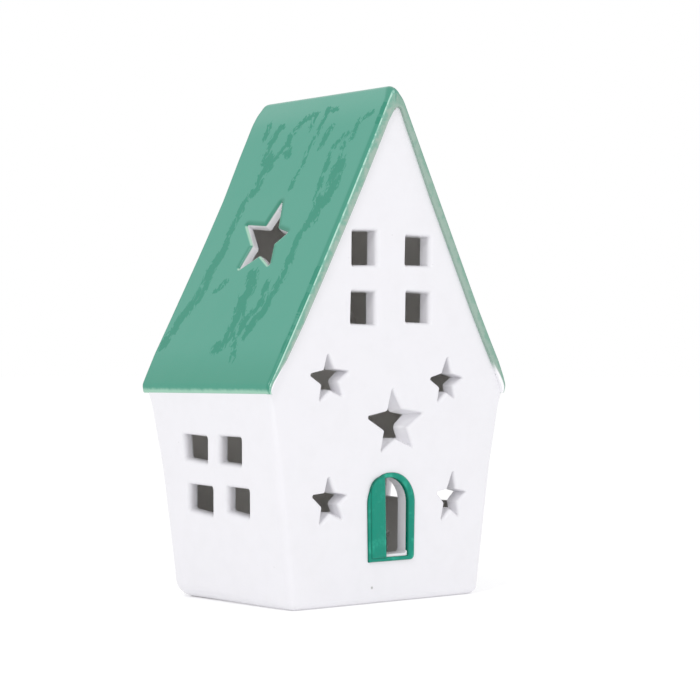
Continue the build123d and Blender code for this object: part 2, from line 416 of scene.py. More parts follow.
@dataclass(frozen=True)
class HouseSizes:
    """Driving sizes of the house, and the slopes and heights that follow from them."""

    base_width: float = 73.4
    base_depth: float = 55.0
    soffit_height: float = 58.2
    end_wall_spread: float = 0.6
    side_wall_thickness: float = 3.6
    end_wall_thickness: float = 4.3
    floor_thickness: float = 4.0
    eave_width: float = 94.2
    eave_rise: float = 4.4
    eave_overhang: float = 2.25
    apex_height: float = 152.2
    roof_thickness: float = 2.9
    ridge_round: float = 1.9
    fascia_height: float = 2.0
    fascia_lean: float = 0.8
    gable_overhang: float = 1.0

    @property
    def side_lean(self) -> float:
        """Outward lean of the side walls, level over upright."""
        return (self.eave_width / 2 - self.eave_overhang - self.base_width / 2) / self.soffit_height

    @property
    def end_lean(self) -> float:
        """Outward lean of the end walls, level over upright."""
        return self.end_wall_spread / self.soffit_height

    @property
    def eave_height(self) -> float:
        """Height of the eave tips."""
        return self.soffit_height + self.eave_rise

    @property
    def slope_run(self) -> float:
        """Level reach of one slope."""
        return self.eave_width / 2

    @property
    def slope_rise(self) -> float:
        """Height of one slope, to the unrounded apex."""
        return self.apex_height - self.eave_height

    @property
    def slope_length(self) -> float:
        """Length of one slope, to the unrounded apex."""
        return math.hypot(self.slope_run, self.slope_rise)

    @property
    def inner_top_height(self) -> float:
        """Height at which the inner face of a side wall meets the underside of the roof."""
        underside_apex = self.apex_height - self.roof_thickness * self.slope_length / self.slope_run
        pitch = self.slope_run / self.slope_rise
        inner_foot = self.base_width / 2 - self.side_wall_thickness
        return (underside_apex * pitch - inner_foot) / (self.side_lean + pitch)

    def slope_x(self, height: Array) -> Array:
        """Half width over the slopes at a height."""
        return (self.apex_height - height) * self.slope_run / self.slope_rise

    def half_depth(self, height: Array) -> Array:
        """Half depth over the end walls at a height."""
        return self.base_depth / 2 + self.end_lean * height

    def roof_half_depth(self, height: Array) -> Array:
        """Half depth over the roof's rims at a height."""
        return self.half_depth(height) + self.gable_overhang


@dataclass(frozen=True)
class BodyShape:
    """Outer shape of the white body: leaning walls, a cove under the eaves, rounded corners and foot.

    Attributes:
        corner_rounds: Radius of the upright corners: front left, front right, rear left, rear right.
        eave_rounds, eave_blend: Their radius under the eaves, and the heights between which it changes.
        foot_rounds: Radius of the foot's edge at the same corners.
        cove_start, cove_reach: Where the side walls begin to curve out, and how far they do at the fascia.
        under_slope, wall_top: How far inside the slopes and how high the corners end in the roof.
        foot_blend: Height over which the foot's rounding settles into the wall.
        foot_arc, foot_mean: Length of that rounding on the unrolled wall, and the radius that it stands for.
        hidden_levels: Heights of the rows inside the roof, under the wall's top.
    """

    sizes: HouseSizes
    corner_rounds: Corners = (2.3, 2.3, 3.4, 2.8)
    eave_rounds: Corners = (1.1, 0.6, 1.0, 0.8)
    eave_blend: Pair = (36.0, 58.0)
    foot_rounds: Corners = (2.3, 2.4, 4.6, 3.0)
    cove_start: float = 55.0
    cove_reach: float = 1.0
    under_slope: float = 1.2
    wall_top: float = 66.0
    foot_blend: float = 8.0
    foot_mean: float = 2.3
    foot_arc: float = 3.6
    foot_steps: int = 7
    blend_steps: int = 4
    wall_steps: int = 13
    cove_steps: int = 9
    hidden_levels: tuple[float, ...] = (61.5, 62.4, 63.3, 64.2, 65.1)

    @property
    def blend_end(self) -> float:
        """Unrolled height at which true height takes over."""
        return self.foot_arc + self.foot_blend - self.foot_mean

    def corner(self, x_side: float, y_side: float) -> int:
        """Index of an upright corner in the tables of radii."""
        return (1 if x_side > 0 else 0) + (2 if y_side > 0 else 0)

    def wall_height(self, unrolled: float) -> float:
        """Height of an unrolled height over the foot, held to the wall's top."""
        return min(max(unrolled - self.blend_end + self.foot_blend, 0.0), self.wall_top)

    def half_width(self, height: Array) -> Array:
        """Half width over the side walls: a leaning line, the cove's parabola, and the roof's limit."""
        sizes = self.sizes
        cove_top = sizes.eave_height - sizes.fascia_height
        climb = np.clip((height - self.cove_start) / (cove_top - self.cove_start), 0.0, 1.0)
        wall = sizes.base_width / 2 + sizes.side_lean * height + self.cove_reach * climb**2
        return np.minimum(wall, sizes.slope_x(height) - self.under_slope)

    def rise(self, unrolled: Array, foot_round: Array) -> tuple[Array, Array]:
        """Height and inset of the wall's skin.

        Along the foot's quarter circle the height is r (1 - cos a) and the inset r (1 - sin a). From there
        the height runs evenly to the blend's end, and then follows the unrolled height.

        Args:
            unrolled: Distance up the unrolled wall from the table.
            foot_round: Radius of the foot's edge at each point.

        Returns:
            Heights and insets.
        """
        angle = np.clip(unrolled / self.foot_arc, 0.0, 1.0) * QUARTER_TURN
        in_arc = foot_round * (1 - np.cos(angle))
        blend = np.clip((unrolled - self.foot_arc) / (self.blend_end - self.foot_arc), 0.0, 1.0)
        height = in_arc + blend * (self.foot_blend - foot_round)
        height = height + np.maximum(unrolled - self.blend_end, 0.0)
        return height, foot_round * (1 - np.sin(angle))

    def foot_levels(self) -> Array:
        """Unrolled heights of the rows round the foot's edge."""
        return np.linspace(0, self.foot_arc, self.foot_steps)

    def wall_levels(self) -> Array:
        """Unrolled heights of the rows from the foot's edge to the cove."""
        blend = np.linspace(self.foot_arc, self.blend_end, self.blend_steps)
        above = np.linspace(self.foot_blend, self.cove_start, self.wall_steps)[1:]
        return np.concatenate([blend, above - self.foot_blend + self.blend_end])

    def cove_levels(self, top: float) -> Array:
        """Unrolled heights of the rows from the start of the cove up to a height."""
        cove_top = self.sizes.eave_height - self.sizes.fascia_height
        cove = np.linspace(self.cove_start, cove_top, self.cove_steps)
        upper = np.array([*self.hidden_levels, self.wall_top])
        return np.concatenate([cove, upper[upper <= top]]) - self.foot_blend + self.blend_end


@dataclass(frozen=True)
class Mouth:
    """How an opening's edge runs from the outer face to the inner one.

    Attributes:
        spread, sink: Width and depth of the rounding at the outer face.
        taper: How much narrower the opening is at its inner end.
        lean: How far each row is dragged to the right and up, as a share of its offset.
        blunt: How far a star's right arm is cut short at the inner end, where its lower arms end level, or
            None for an opening that keeps its outline.
        inner_break, margin: Size of the rounding at the inner face, and of the flat band round the outer one.
    """

    spread: float = 1.0
    sink: float = 1.5
    taper: float = 0.12
    lean: Pair = (0.0, 0.0)
    blunt: float | None = None
    inner_break: float = 0.3
    margin: float = 0.4
    arc_steps: int = 7
    reveal_steps: int = 4

    def rows(self, thickness: float) -> tuple[Array, Array, Array]:
        """Offsets, depths and inner flags of the rows through the wall.

        The rounding is a quarter ellipse: offset s (1 - sin a) at depth d (1 - cos a). Then the reveal runs
        straight to the inner break.

        Args:
            thickness: Depth of the inner face.

        Returns:
            One offset, depth and flag for each row, from the outer face to the inner one.
        """
        angle = np.linspace(0, QUARTER_TURN, self.arc_steps)
        end = thickness - self.inner_break
        share = np.linspace(0, 1, self.reveal_steps)[1:]
        offsets = np.concatenate([
            [self.spread + self.margin],
            self.spread * (1 - np.sin(angle)),
            -self.taper * share,
            [self.inner_break - self.taper],
        ])
        depths = np.concatenate([
            [0.0],
            self.sink * (1 - np.cos(angle)),
            self.sink + (end - self.sink) * share,
            [thickness],
        ])
        flags = np.zeros(len(depths))
        flags[-1] = 1.0
        return offsets, depths, flags


def blunted(star: Cutout, drop: float, shorter: float, notch_lift: float = 0.12) -> Cutout:
    """A star whose two lower arms end on one level line and whose right arm is shorter.

    Corners 4 and 6 are the tips of the lower arms, 5 is the notch between them and 8 the right tip.

    Args:
        star: The star, its corners counter-clockwise from the top tip.
        drop: How far the line lies under the notch between the lower arms.
        shorter: How far the right tip moves to the left.
        notch_lift: How far the notch stays over the line.

    Returns:
        An outline with as many corners.
    """
    corners = star.corners.copy()
    level = corners[5, 1] - drop
    for tip, notch in ((4, 3), (6, 7)):
        run = corners[tip] - corners[notch]
        corners[tip] = corners[notch] + run * min(1.0, (level - corners[notch, 1]) / run[1])
    corners[5] = (corners[4] + corners[6]) / 2 + np.array([0.0, notch_lift])
    corners[8, 0] -= shorter
    return replace(star, corners=corners)


def cut_through(skin: Skin, cutout: Cutout, mouth: Mouth, thickness: float,
                place: Callable[[Array, float], Array]) -> tuple[Array, Array]:
    """Add the edge of an opening to a skin.

    Args:
        skin: The skin that gets the rows.
        cutout: Outline of the opening.
        mouth: How its edge runs.
        thickness: Depth of the inner face.
        place: Gives points in space for points of the outer face at a depth.

    Returns:
        The opening's outlines in the outer and in the inner face.
    """
    offsets, depths, flags = mouth.rows(thickness)
    lean = np.array(mouth.lean)
    drop = mouth.taper * (1 - mouth.lean[1])
    inner = cutout if mouth.blunt is None else blunted(cutout, drop, mouth.blunt)
    shares = np.clip((depths - mouth.sink) / (thickness - mouth.inner_break - mouth.sink), 0, 1)
    rings = [(1 - share) * cutout.ring(offset) + share * inner.ring(offset) + min(offset, mouth.spread) * lean
             for offset, share in zip(offsets, shares)]
    rows = np.stack([place(ring, depth) for ring, depth in zip(rings, depths)])
    skin.add_grid(rows, closed=True, inside=flags)
    return rows[0], rows[-1]


class HousePiece:
    """A piece of the house that stands for one CAD node; each kind gathers its own skin.

    Attributes:
        suffix: What its name adds to that of the node.
        slot: The record's material slot.
    """

    suffix: ClassVar[str] = "skin"
    slot: ClassVar[str] = "white_glaze"

    def gather(self) -> Skin:
        """Gather the patches of the piece."""
        raise NotImplementedError

    def build(self, name: str, finish: Material) -> Piece:
        """Make the piece and let it stand for its CAD node.

        Args:
            name: Name of the CAD node.
            finish: Material of the piece.

        Returns:
            The new piece.
        """
        piece = self.gather().build(f"{name}_{self.suffix}", finish, self.slot, "house")
        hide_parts(name)
        return piece


# White body


@dataclass
class EndWall(HousePiece):
    """The front or the rear wall: a flat gable that wraps round its two upright corners.

    Attributes:
        side: LOW for the front wall, HIGH for the rear one.
        cutouts, mouths: Openings as seen from the front, in x and height, and how the edge of each runs.
        middle_foot: Radius of the foot's edge between the corners.
        foot_ease: Share of the half width where that radius begins to change, and the share that it takes.
        corner_shrink: How much of an upright corner's radius the foot's edge takes off at the table.
        support: Width of the last flat column before a corner.
        gable_cover: How far under the slopes' face the gable's edge runs.
    """

    shape: BodyShape
    side: Side
    cutouts: list[Cutout]
    mouths: list[Mouth]
    middle_foot: float = 2.1
    foot_ease: Pair = (0.72, 0.28)
    corner_shrink: float = 0.9
    flat_columns: int = 14
    corner_steps: int = 8
    support: float = 0.35
    gable_cover: float = 1.3
    gable_steps: int = 16

    def corner_round(self, x: Array, unrolled: float = 0.0) -> Array:
        """Radius of the upright corner on each point's side, eased to its radius under the eaves."""
        shape = self.shape
        start, end = shape.eave_blend
        share = smooth_step(np.array((shape.wall_height(unrolled) - start) / (end - start)))
        left, right = (shape.corner_rounds[k] + share * (shape.eave_rounds[k] - shape.corner_rounds[k])
                       for k in (shape.corner(s, self.side.value) for s in (-1, 1)))
        return np.where(x < 0, left, right)

    def foot_round(self, x: Array) -> Array:
        """Radius of the foot's edge, eased to that of each corner."""
        left, right = (self.shape.foot_rounds[self.shape.corner(s, self.side.value)] for s in (-1, 1))
        reach = self.shape.sizes.base_width / 2 - self.corner_round(x)
        corner = np.where(x < 0, left, right)
        start, length = self.foot_ease
        share = smooth_step((np.abs(x) / reach - start) / length)
        return self.middle_foot + (corner - self.middle_foot) * share

    def flat_end(self, unrolled: float, x_side: float) -> float:
        """Half width of the flat part of the unrolled wall on a row."""
        half_width = self.shape.half_width(self.shape.wall_height(unrolled))
        return float(half_width - self.corner_round(np.array(x_side), unrolled))

    def row(self, along: Array, unrolled: float) -> Array:
        """Points of the outer skin along a row.

        Past the flat part, the unrolled distance d turns round the corner by the angle d / r, and then runs
        back along the side wall to the seam at the wall's inner face.

        Args:
            along: Unrolled places on the row.
            unrolled: Unrolled height of the row.

        Returns:
            Points in space, (n, 3).
        """
        sizes, shape = self.shape.sizes, self.shape
        sign = np.where(along < 0, -1.0, 1.0)
        corner = self.corner_round(along, unrolled)
        foot = self.foot_round(along)
        height, inset = shape.rise(np.full(len(along), unrolled), foot)
        end = np.where(along < 0, self.flat_end(unrolled, -1), self.flat_end(unrolled, 1))
        past = np.clip(np.abs(along) - end, 0.0, None)
        shrunk = corner * (1 - self.corner_shrink * inset / foot)
        flat_half = np.where(past > 0, shape.half_width(height), end + corner) - inset - shrunk
        angle = np.clip(past / corner, 0.0, QUARTER_TURN)
        strip = np.clip(past - corner * QUARTER_TURN, 0.0, None) / (sizes.end_wall_thickness - corner)
        x = np.where(past > 0, flat_half + shrunk * np.sin(angle), np.abs(along) * flat_half / end)
        y = sizes.half_depth(height) - inset - shrunk * (1 - np.cos(angle))
        y = y + np.minimum(strip, 1.0) * (sizes.half_depth(height) - sizes.end_wall_thickness - y)
        return np.stack([sign * x, self.side.value * y, height], axis=1)

    def at(self, flat: Array, depth: float) -> Array:
        """Points at a depth behind the flat face, for points given in x and height."""
        x, z = flat[:, 0], flat[:, 1]
        return np.stack([x, self.side.value * (self.shape.sizes.half_depth(z) - depth), z], axis=1)

    def columns(self, unrolled: float, x_side: float) -> Array:
        """Unrolled places of the columns round a corner, from just before it to the seam."""
        corner = float(self.corner_round(np.array(x_side), unrolled))
        strip = self.shape.sizes.end_wall_thickness - corner
        turn = np.linspace(0, corner * QUARTER_TURN, self.corner_steps)
        middle_and_seam = corner * QUARTER_TURN + strip * np.array([0.5, 1.0])
        steps = np.concatenate([[-self.support], turn, middle_and_seam])
        return x_side * (self.flat_end(unrolled, x_side) + steps)

    def full_row(self, unrolled: float) -> Array:
        """Points of a whole row, from seam to seam."""
        left, right = self.columns(unrolled, -1)[::-1], self.columns(unrolled, 1)
        flat = np.linspace(left[-1], right[0], self.flat_columns)[1:-1]
        return self.row(np.concatenate([left, flat, right]), unrolled)

    def gable(self, start: Array) -> Array:
        """Edge of the gable inside the roof, from a point on its right up to the apex.

        Args:
            start: Top of the right corner's flat side, in x, y and height.

        Returns:
            Points in x and height.
        """
        sizes = self.shape.sizes
        apex = sizes.apex_height - self.gable_cover * sizes.slope_length / sizes.slope_run
        foot = np.array([start[0], apex - abs(start[0]) * sizes.slope_rise / sizes.slope_run])
        return foot + (np.array([0.0, apex]) - foot) * np.linspace(0, 1, self.gable_steps)[:, None]

    def gather(self) -> Skin:
        """Gather the foot, both corners, the gable, the seams and the inner face, with the openings."""
        shape, thickness = self.shape, self.shape.sizes.end_wall_thickness
        skin = Skin()
        holes = [cut_through(skin, cutout, mouth, thickness, self.at)
                 for cutout, mouth in zip(self.cutouts, self.mouths)]
        foot = np.stack([self.full_row(level) for level in shape.foot_levels()])
        levels = np.concatenate([shape.wall_levels(), shape.cove_levels(shape.wall_top)[1:]])
        left = np.stack([self.row(self.columns(level, -1), level) for level in levels])
        right = np.stack([self.row(self.columns(level, 1), level) for level in levels])
        skin.add_grid(foot)
        skin.add_grid(left)
        skin.add_grid(right)
        turn = left.shape[1]
        right_gable = self.at(self.gable(right[-1, 0]), 0.0)
        left_gable = self.at(self.gable(left[-1, 0]), 0.0)[::-1]
        gable = np.concatenate([right_gable, left_gable[1:]])
        face = np.concatenate([foot[-1, turn - 1:1 - turn], right[1:, 0], gable, left[1:, 0][::-1]])
        skin.add_fill(Loop(face[:, [0, 2]], face), [Loop(outer[:, [0, 2]], outer) for outer, _ in holes])
        rim = np.concatenate([
            foot[0], foot[1:, -1], right[1:, -1], right[-1, :-1][::-1], gable,
            left[-1, :-1], left[1:, -1][::-1], foot[1:, 0][::-1],
        ])
        back = self.at(rim[:, [0, 2]], thickness)
        skin.add_grid(np.stack([rim, back]), closed=True)
        skin.add_fill(Loop(back[:, [0, 2]], back), [Loop(inner[:, [0, 2]], inner) for _, inner in holes],
                      inside=1.0)
        return skin


@dataclass
class SideWall(HousePiece):
    """The left or the right wall, between the seams of the two end walls.

    Attributes:
        side: LOW for the left wall, HIGH for the right one.
        cutouts, mouth: Openings in y and height, and how their edges run.
        top: Height of the wall's outer edge, inside the roof.
        overlap: How far the inner face goes on past the underside of the roof.
    """

    shape: BodyShape
    side: Side
    cutouts: list[Cutout]
    mouth: Mouth
    row_points: int = 12
    top: float = 61.5
    overlap: float = 0.3

    def foot_round(self, share: Array) -> Array:
        """Radius of the foot's edge, eased from the front seam (share 0) to the rear one (share 1)."""
        front, rear = (self.shape.foot_rounds[self.shape.corner(self.side.value, s)] for s in (-1, 1))
        return front + (rear - front) * smooth_step(share)

    def row(self, unrolled: float) -> Array:
        """Points of the outer skin along a row, from the front seam to the rear one.

        Args:
            unrolled: Unrolled height of the row.

        Returns:
            Points in space, (n, 3).
        """
        share = np.linspace(0, 1, self.row_points)
        height, inset = self.shape.rise(np.full(self.row_points, unrolled), self.foot_round(share))
        seam = self.shape.sizes.half_depth(height) - self.shape.sizes.end_wall_thickness
        x = self.side.value * (self.shape.half_width(height) - inset)
        return np.stack([x, seam * (2 * share - 1), height], axis=1)

    def at(self, flat: Array, depth: float) -> Array:
        """Points at a depth behind the flat face, measured square to it, for points in y and height."""
        sizes = self.shape.sizes
        stretch = math.hypot(1.0, sizes.side_lean)
        reach = sizes.base_width / 2 + sizes.side_lean * flat[:, 1] - depth / stretch
        height = flat[:, 1] + depth * sizes.side_lean / stretch
        return np.stack([self.side.value * reach, flat[:, 0], height], axis=1)

    def gather(self) -> Skin:
        """Gather the foot, the face, the cove, the seams and the inner face, with the openings."""
        shape, sizes = self.shape, self.shape.sizes
        thickness = sizes.side_wall_thickness / math.hypot(1.0, sizes.side_lean)
        skin = Skin()
        holes = [cut_through(skin, cutout, self.mouth, thickness, self.at) for cutout in self.cutouts]
        foot = np.stack([self.row(level) for level in shape.foot_levels()])
        wall = np.stack([self.row(level) for level in shape.wall_levels()])
        cove = np.stack([self.row(level) for level in shape.cove_levels(self.top)])
        skin.add_grid(foot)
        skin.add_grid(cove)
        face = np.concatenate([foot[-1], wall[1:-1, -1], cove[0][::-1], wall[1:-1, 0][::-1]])
        skin.add_fill(Loop(face[:, 1:], face), [Loop(outer[:, 1:], outer) for outer, _ in holes])
        rim = np.concatenate([
            foot[0], foot[1:, -1], wall[1:, -1], cove[1:, -1], cove[-1, :-1][::-1],
            cove[1:-1, 0][::-1], wall[1:, 0][::-1], foot[1:, 0][::-1],
        ])
        height = rim[:, 2] * (sizes.inner_top_height + self.overlap) / self.top
        reach = sizes.base_width / 2 - sizes.side_wall_thickness + sizes.side_lean * height
        back = np.stack([self.side.value * reach, rim[:, 1], height], axis=1)
        skin.add_grid(np.stack([rim, back]), closed=True)
        skin.add_fill(Loop(back[:, 1:], back), [Loop(inner[:, 1:], inner) for _, inner in holes], inside=1.0)
        return skin


# Roof


@dataclass(frozen=True)
class Stroke:
    """One pull of the brush: a broken line on the slope, its half width and its strength."""

    line: tuple[Pair, ...]
    half_width: float = 1.3
    strength: float = 1.0


@dataclass(frozen=True)
class Strokes:
    """The darker brush strokes of one slope, in x as seen from outside and distance up the slope.

    Attributes:
        strokes: The pulls of the brush.
        spread: How far the glaze of each runs, over its half width.
    """

    strokes: tuple[Stroke, ...] = ()
    spread: float = 1.3

    def cover(self, across: Array, up: Array) -> Array:
        """How strongly the strokes cover each point.

        A stroke's cover falls from its line as exp(-(d / w)^2), and the strongest one counts.

        Args:
            across: Each point's x as seen from outside.
            up: Its distance up the slope.

        Returns:
            Covers from 0 to 1.
        """
        cover = np.zeros(len(across))
        point = np.stack([across, up], axis=1)
        for stroke in self.strokes:
            for start, end in zip(np.array(stroke.line), np.array(stroke.line)[1:]):
                run = end - start
                share = np.clip(((point - start) @ run) / (run @ run), 0, 1)
                distance = np.linalg.norm(point - start - share[:, None] * run, axis=1)
                width = stroke.half_width * self.spread
                cover = np.maximum(cover, stroke.strength * np.exp(-((distance / width) ** 2)))
        return cover


@dataclass
class RoofSlab(HousePiece):
    """One slope of the roof, bent a little inwards, with its rims on both gables.

    Attributes:
        side: LOW for the left slope, HIGH for the right one.
        sag: Depth of the slope's bow at its middle.
        swell: Heights, and how far the slope stands out level at those heights, at the front and at the rear.
        rim: Heights, and level widths of the rim on the gables at those heights.
        facing_rim: Level width of the other slope's rim at the apex.
        cutouts, mouth: Openings, in x as seen from outside and distance up the slope, and their edges.
        arris: Radius of the arris at the front and at the rear.
        widest_arris, widest_break: Largest shares of the rim that the arris and the inner break take.
        arris_span, rim_span: What the arris and the rim's flat count for in the distance over the surface.
        rim_apex_zone: Height under its apex that the rounding of the rim's inner edge may take.
        upright_height: Height at which the rear rim stands at its full depth.
        lead, clearance: Distance of the rings round an opening from its mouth, and the room round them.
    """

    slot: ClassVar[str] = "green_glaze"
    corner_steps: ClassVar[int] = 25
    ridge_steps: ClassVar[int] = 8
    nose_steps: ClassVar[int] = 9
    fascia_steps: ClassVar[int] = 3
    foot_steps: ClassVar[int] = 6
    arris_steps: ClassVar[int] = 10
    break_steps: ClassVar[int] = 5
    window_cells: ClassVar[int] = 3

    sizes: HouseSizes
    side: Side
    sag: float
    swell: tuple[tuple[float, ...], tuple[float, ...], tuple[float, ...]]
    rim: tuple[tuple[float, ...], tuple[float, ...]]
    facing_rim: float
    cutouts: list[Cutout]
    mouth: Mouth
    strokes: Strokes
    nose_round: float = 2.6
    foot_round: float = 0.6
    heel_drop: float = 0.1
    arris: Pair = (1.4, 0.9)
    ridge_arris: float = 3.0
    ridge_ease: float = 6.0
    widest_arris: float = 0.6
    arris_span: float = 2.2
    rim_span: float = 2.0
    rim_shares: tuple[float, ...] = (0.12, 0.5, 0.9)
    inner_break: float = 0.3
    widest_break: float = 0.25
    rim_return: float = 1.5
    rim_apex_round: float = 1.3
    rim_apex_zone: float = 6.0
    rim_points: int = 120
    swell_ease: float = 3.0
    upright_height: float = 149.0
    ridge_blend: float = 8.0
    grid_step: float = 1.0
    support: float = 0.35
    column_inset: float = 0.9
    lead: Pair = (1.6, 0.8)
    clearance: Pair = (0.5, 0.6)

    def __post_init__(self) -> None:
        """Work out the section's path: its points, outward normals and distances from the ridge."""
        sizes = self.sizes
        self.down = np.array([sizes.slope_run, -sizes.slope_rise]) / sizes.slope_length
        self.out = np.array([sizes.slope_rise, sizes.slope_run]) / sizes.slope_length
        eave = np.array([sizes.slope_run, sizes.eave_height])
        foot_height = sizes.eave_height - sizes.fascia_height
        under = sizes.roof_thickness * sizes.slope_length / sizes.slope_rise
        heel_height = foot_height - self.heel_drop
        self.heel = np.array([sizes.slope_x(heel_height) - under, heel_height])
        corners = np.array([[-eave[0], eave[1]], [0.0, sizes.apex_height], eave,
                            [eave[0] - sizes.fascia_lean, foot_height], self.heel])
        radii = [0.0, sizes.ridge_round, self.nose_round, self.foot_round, 0.0]
        steps = self.corner_steps
        half = steps // 2
        path = rounded_path(corners, radii, steps)[(steps + 1) // 2:]
        length = path_lengths(path)
        marks = [half, half + 1, half + steps, half + steps + 1, half + 2 * steps]
        ridge_end, nose_start, nose_end, foot_start, foot_end = length[marks]
        slope_rows = int((nose_start - ridge_end) / self.grid_step)
        self.places = np.concatenate([
            np.linspace(0, ridge_end, self.ridge_steps),
            np.linspace(ridge_end, nose_start, slope_rows)[1:],
            np.linspace(nose_start, nose_end, self.nose_steps)[1:],
            np.linspace(nose_end, foot_start, self.fascia_steps)[1:],
            np.linspace(foot_start, foot_end, self.foot_steps)[1:],
        ])
        self.nose_start, self.foot_end = nose_start, foot_end
        self.apex_lead = sizes.ridge_round * sizes.slope_rise / sizes.slope_run - ridge_end
        points = between(self.places, length, path)
        share = np.clip((self.places - ridge_end) / (nose_start - ridge_end), 0, 1)
        points -= (self.sag * 4 * share * (1 - share))[:, None] * self.out
        self.points = points
        mirrored = np.concatenate([points[1:2] * [-1, 1], points])
        slope = unit(np.gradient(mirrored, np.concatenate([[-self.places[1]], self.places]), axis=0)[1:])
        self.normals = np.stack([-slope[:, 1], slope[:, 0]], axis=1)
        self.rim_edge = self.rim_inner_edge()
        self.underside = self.under_points()

    def up_slope(self, places: Array) -> Array:
        """Distance up the slope from the eave's tip, for distances from the ridge."""
        return self.sizes.slope_length - self.apex_lead - places

    def rim_inner_edge(self) -> Array:
        """Inner edge of the rim on the gable.

        It lies inside the outer path by the rim's level width, the two slopes' edges meet in a rounded apex,
        and its distance along is a broken line of the distance from the ridge.

        Returns:
            A point for each place of the path, (n, 2).
        """
        sizes, (heights, widths) = self.sizes, self.rim
        pitch = sizes.slope_run / sizes.slope_rise
        top_width = widths[-1]
        far_along, foot_gap = 10.0, 0.03
        apex = np.array([(self.facing_rim - top_width) / 2,
                         sizes.apex_height - (self.facing_rim + top_width) / 2 / pitch])
        height = np.linspace(apex[1] - self.rim_apex_zone, self.points[-1, 1] + foot_gap, self.rim_points)
        outer = np.interp(-height, -self.points[:, 1], self.points[:, 0])
        own = np.stack([outer - np.interp(height, heights, widths), height], axis=1)
        facing = apex + np.array([-1.0, -1.0 / pitch]) * far_along
        arc = rounded_path(np.array([facing, apex, own[0]]), [0.0, self.rim_apex_round, 0.0])
        start = np.array([[0.0, np.interp(0.0, arc[:, 0], arc[:, 1])]])
        arc = arc[arc[:, 0] > TINY]
        path = np.concatenate([start, arc[:-1], own])
        length = path_lengths(path)
        fall = (path - np.array([0.0, sizes.apex_height])) @ self.down
        arc_end = len(arc) - 1
        first = fall[arc_end] - self.apex_lead
        knots = np.linspace(first, self.nose_start, self.rim_points // 2)
        matched = np.interp(knots + self.apex_lead, fall[arc_end:], length[arc_end:])
        knots = np.concatenate([[0.0], knots, [self.foot_end]])
        matched = np.concatenate([[0.0], matched, length[-1:]])
        return between(np.interp(self.places, knots, matched), length, path)

    def under_points(self) -> Array:
        """Underside of the slab: parallel to the slope, and blended to the inner apex and to the heel."""
        sizes = self.sizes
        parallel = self.points - sizes.roof_thickness * self.normals
        inner_apex = np.array([0.0, sizes.apex_height
                               - sizes.roof_thickness * sizes.slope_length / sizes.slope_run])
        near, far = self.place(np.array([self.ridge_blend, self.nose_start]), sizes.roof_thickness)
        low = np.clip(self.places / self.ridge_blend, 0, 1)[:, None]
        high = np.clip((self.places - self.nose_start) / (self.foot_end - self.nose_start), 0, 1)[:, None]
        result = np.where(low < 1, inner_apex + (near - inner_apex) * low, parallel)
        return np.where(high > 0, far + (self.heel - far) * high, result)

    def place(self, places: Array, depth: float) -> Array:
        """Points of the section at a depth under the path, for distances from the ridge."""
        normals = unit(between(places, self.places, self.normals))
        return between(places, self.places, self.points) - depth * normals

    def at(self, flat: Array, depth: float) -> Array:
        """Points at a depth under the slope, for points in x as seen from outside and in distance up it."""
        section = self.place(self.up_slope(flat[:, 1]), depth)
        return self.in_space(section, self.side.value * flat[:, 0])

    def in_space(self, section: Array, y: Array) -> Array:
        """Points in space for section points and a y each.

        The swell goes from the front's to the rear's by an eased step of y, and from nothing at the ridge to
        all of it by an eased step of x. Towards the rear, y grows by what the roof lacks there of its depth
        at the ridge, so that the rear rim stands upright.

        Args:
            section: Points of the section, (..., 2).
            y: A y for each.

        Returns:
            Points in space, (..., 3).
        """
        sizes, (heights, front, rear) = self.sizes, self.swell
        x, z = section[..., 0], section[..., 1]
        y = np.broadcast_to(y, z.shape)
        share = smooth_step(y / sizes.base_depth + 0.5)
        swell = (1 - share) * np.interp(z, heights, front) + share * np.interp(z, heights, rear)
        x = x + swell * smooth_step(x / self.swell_ease)
        lack = np.clip(sizes.roof_half_depth(self.upright_height) - sizes.roof_half_depth(z), 0, None)
        y = y + lack * smooth_step(2 * y / sizes.base_depth)
        return np.stack([self.side.value * x, y, z], axis=-1)

    def arris_round(self, end: int) -> Array:
        """Radius of the arris on each row: large at the ridge, and held under a share of the rim's width."""
        own = self.arris[0 if end < 0 else 1]
        width = np.linalg.norm(self.rim_edge - self.points, axis=1)
        eased = own + (self.ridge_arris - own) * (1 - smooth_step(self.places / self.ridge_ease))
        return np.minimum(eased, self.widest_arris * width)

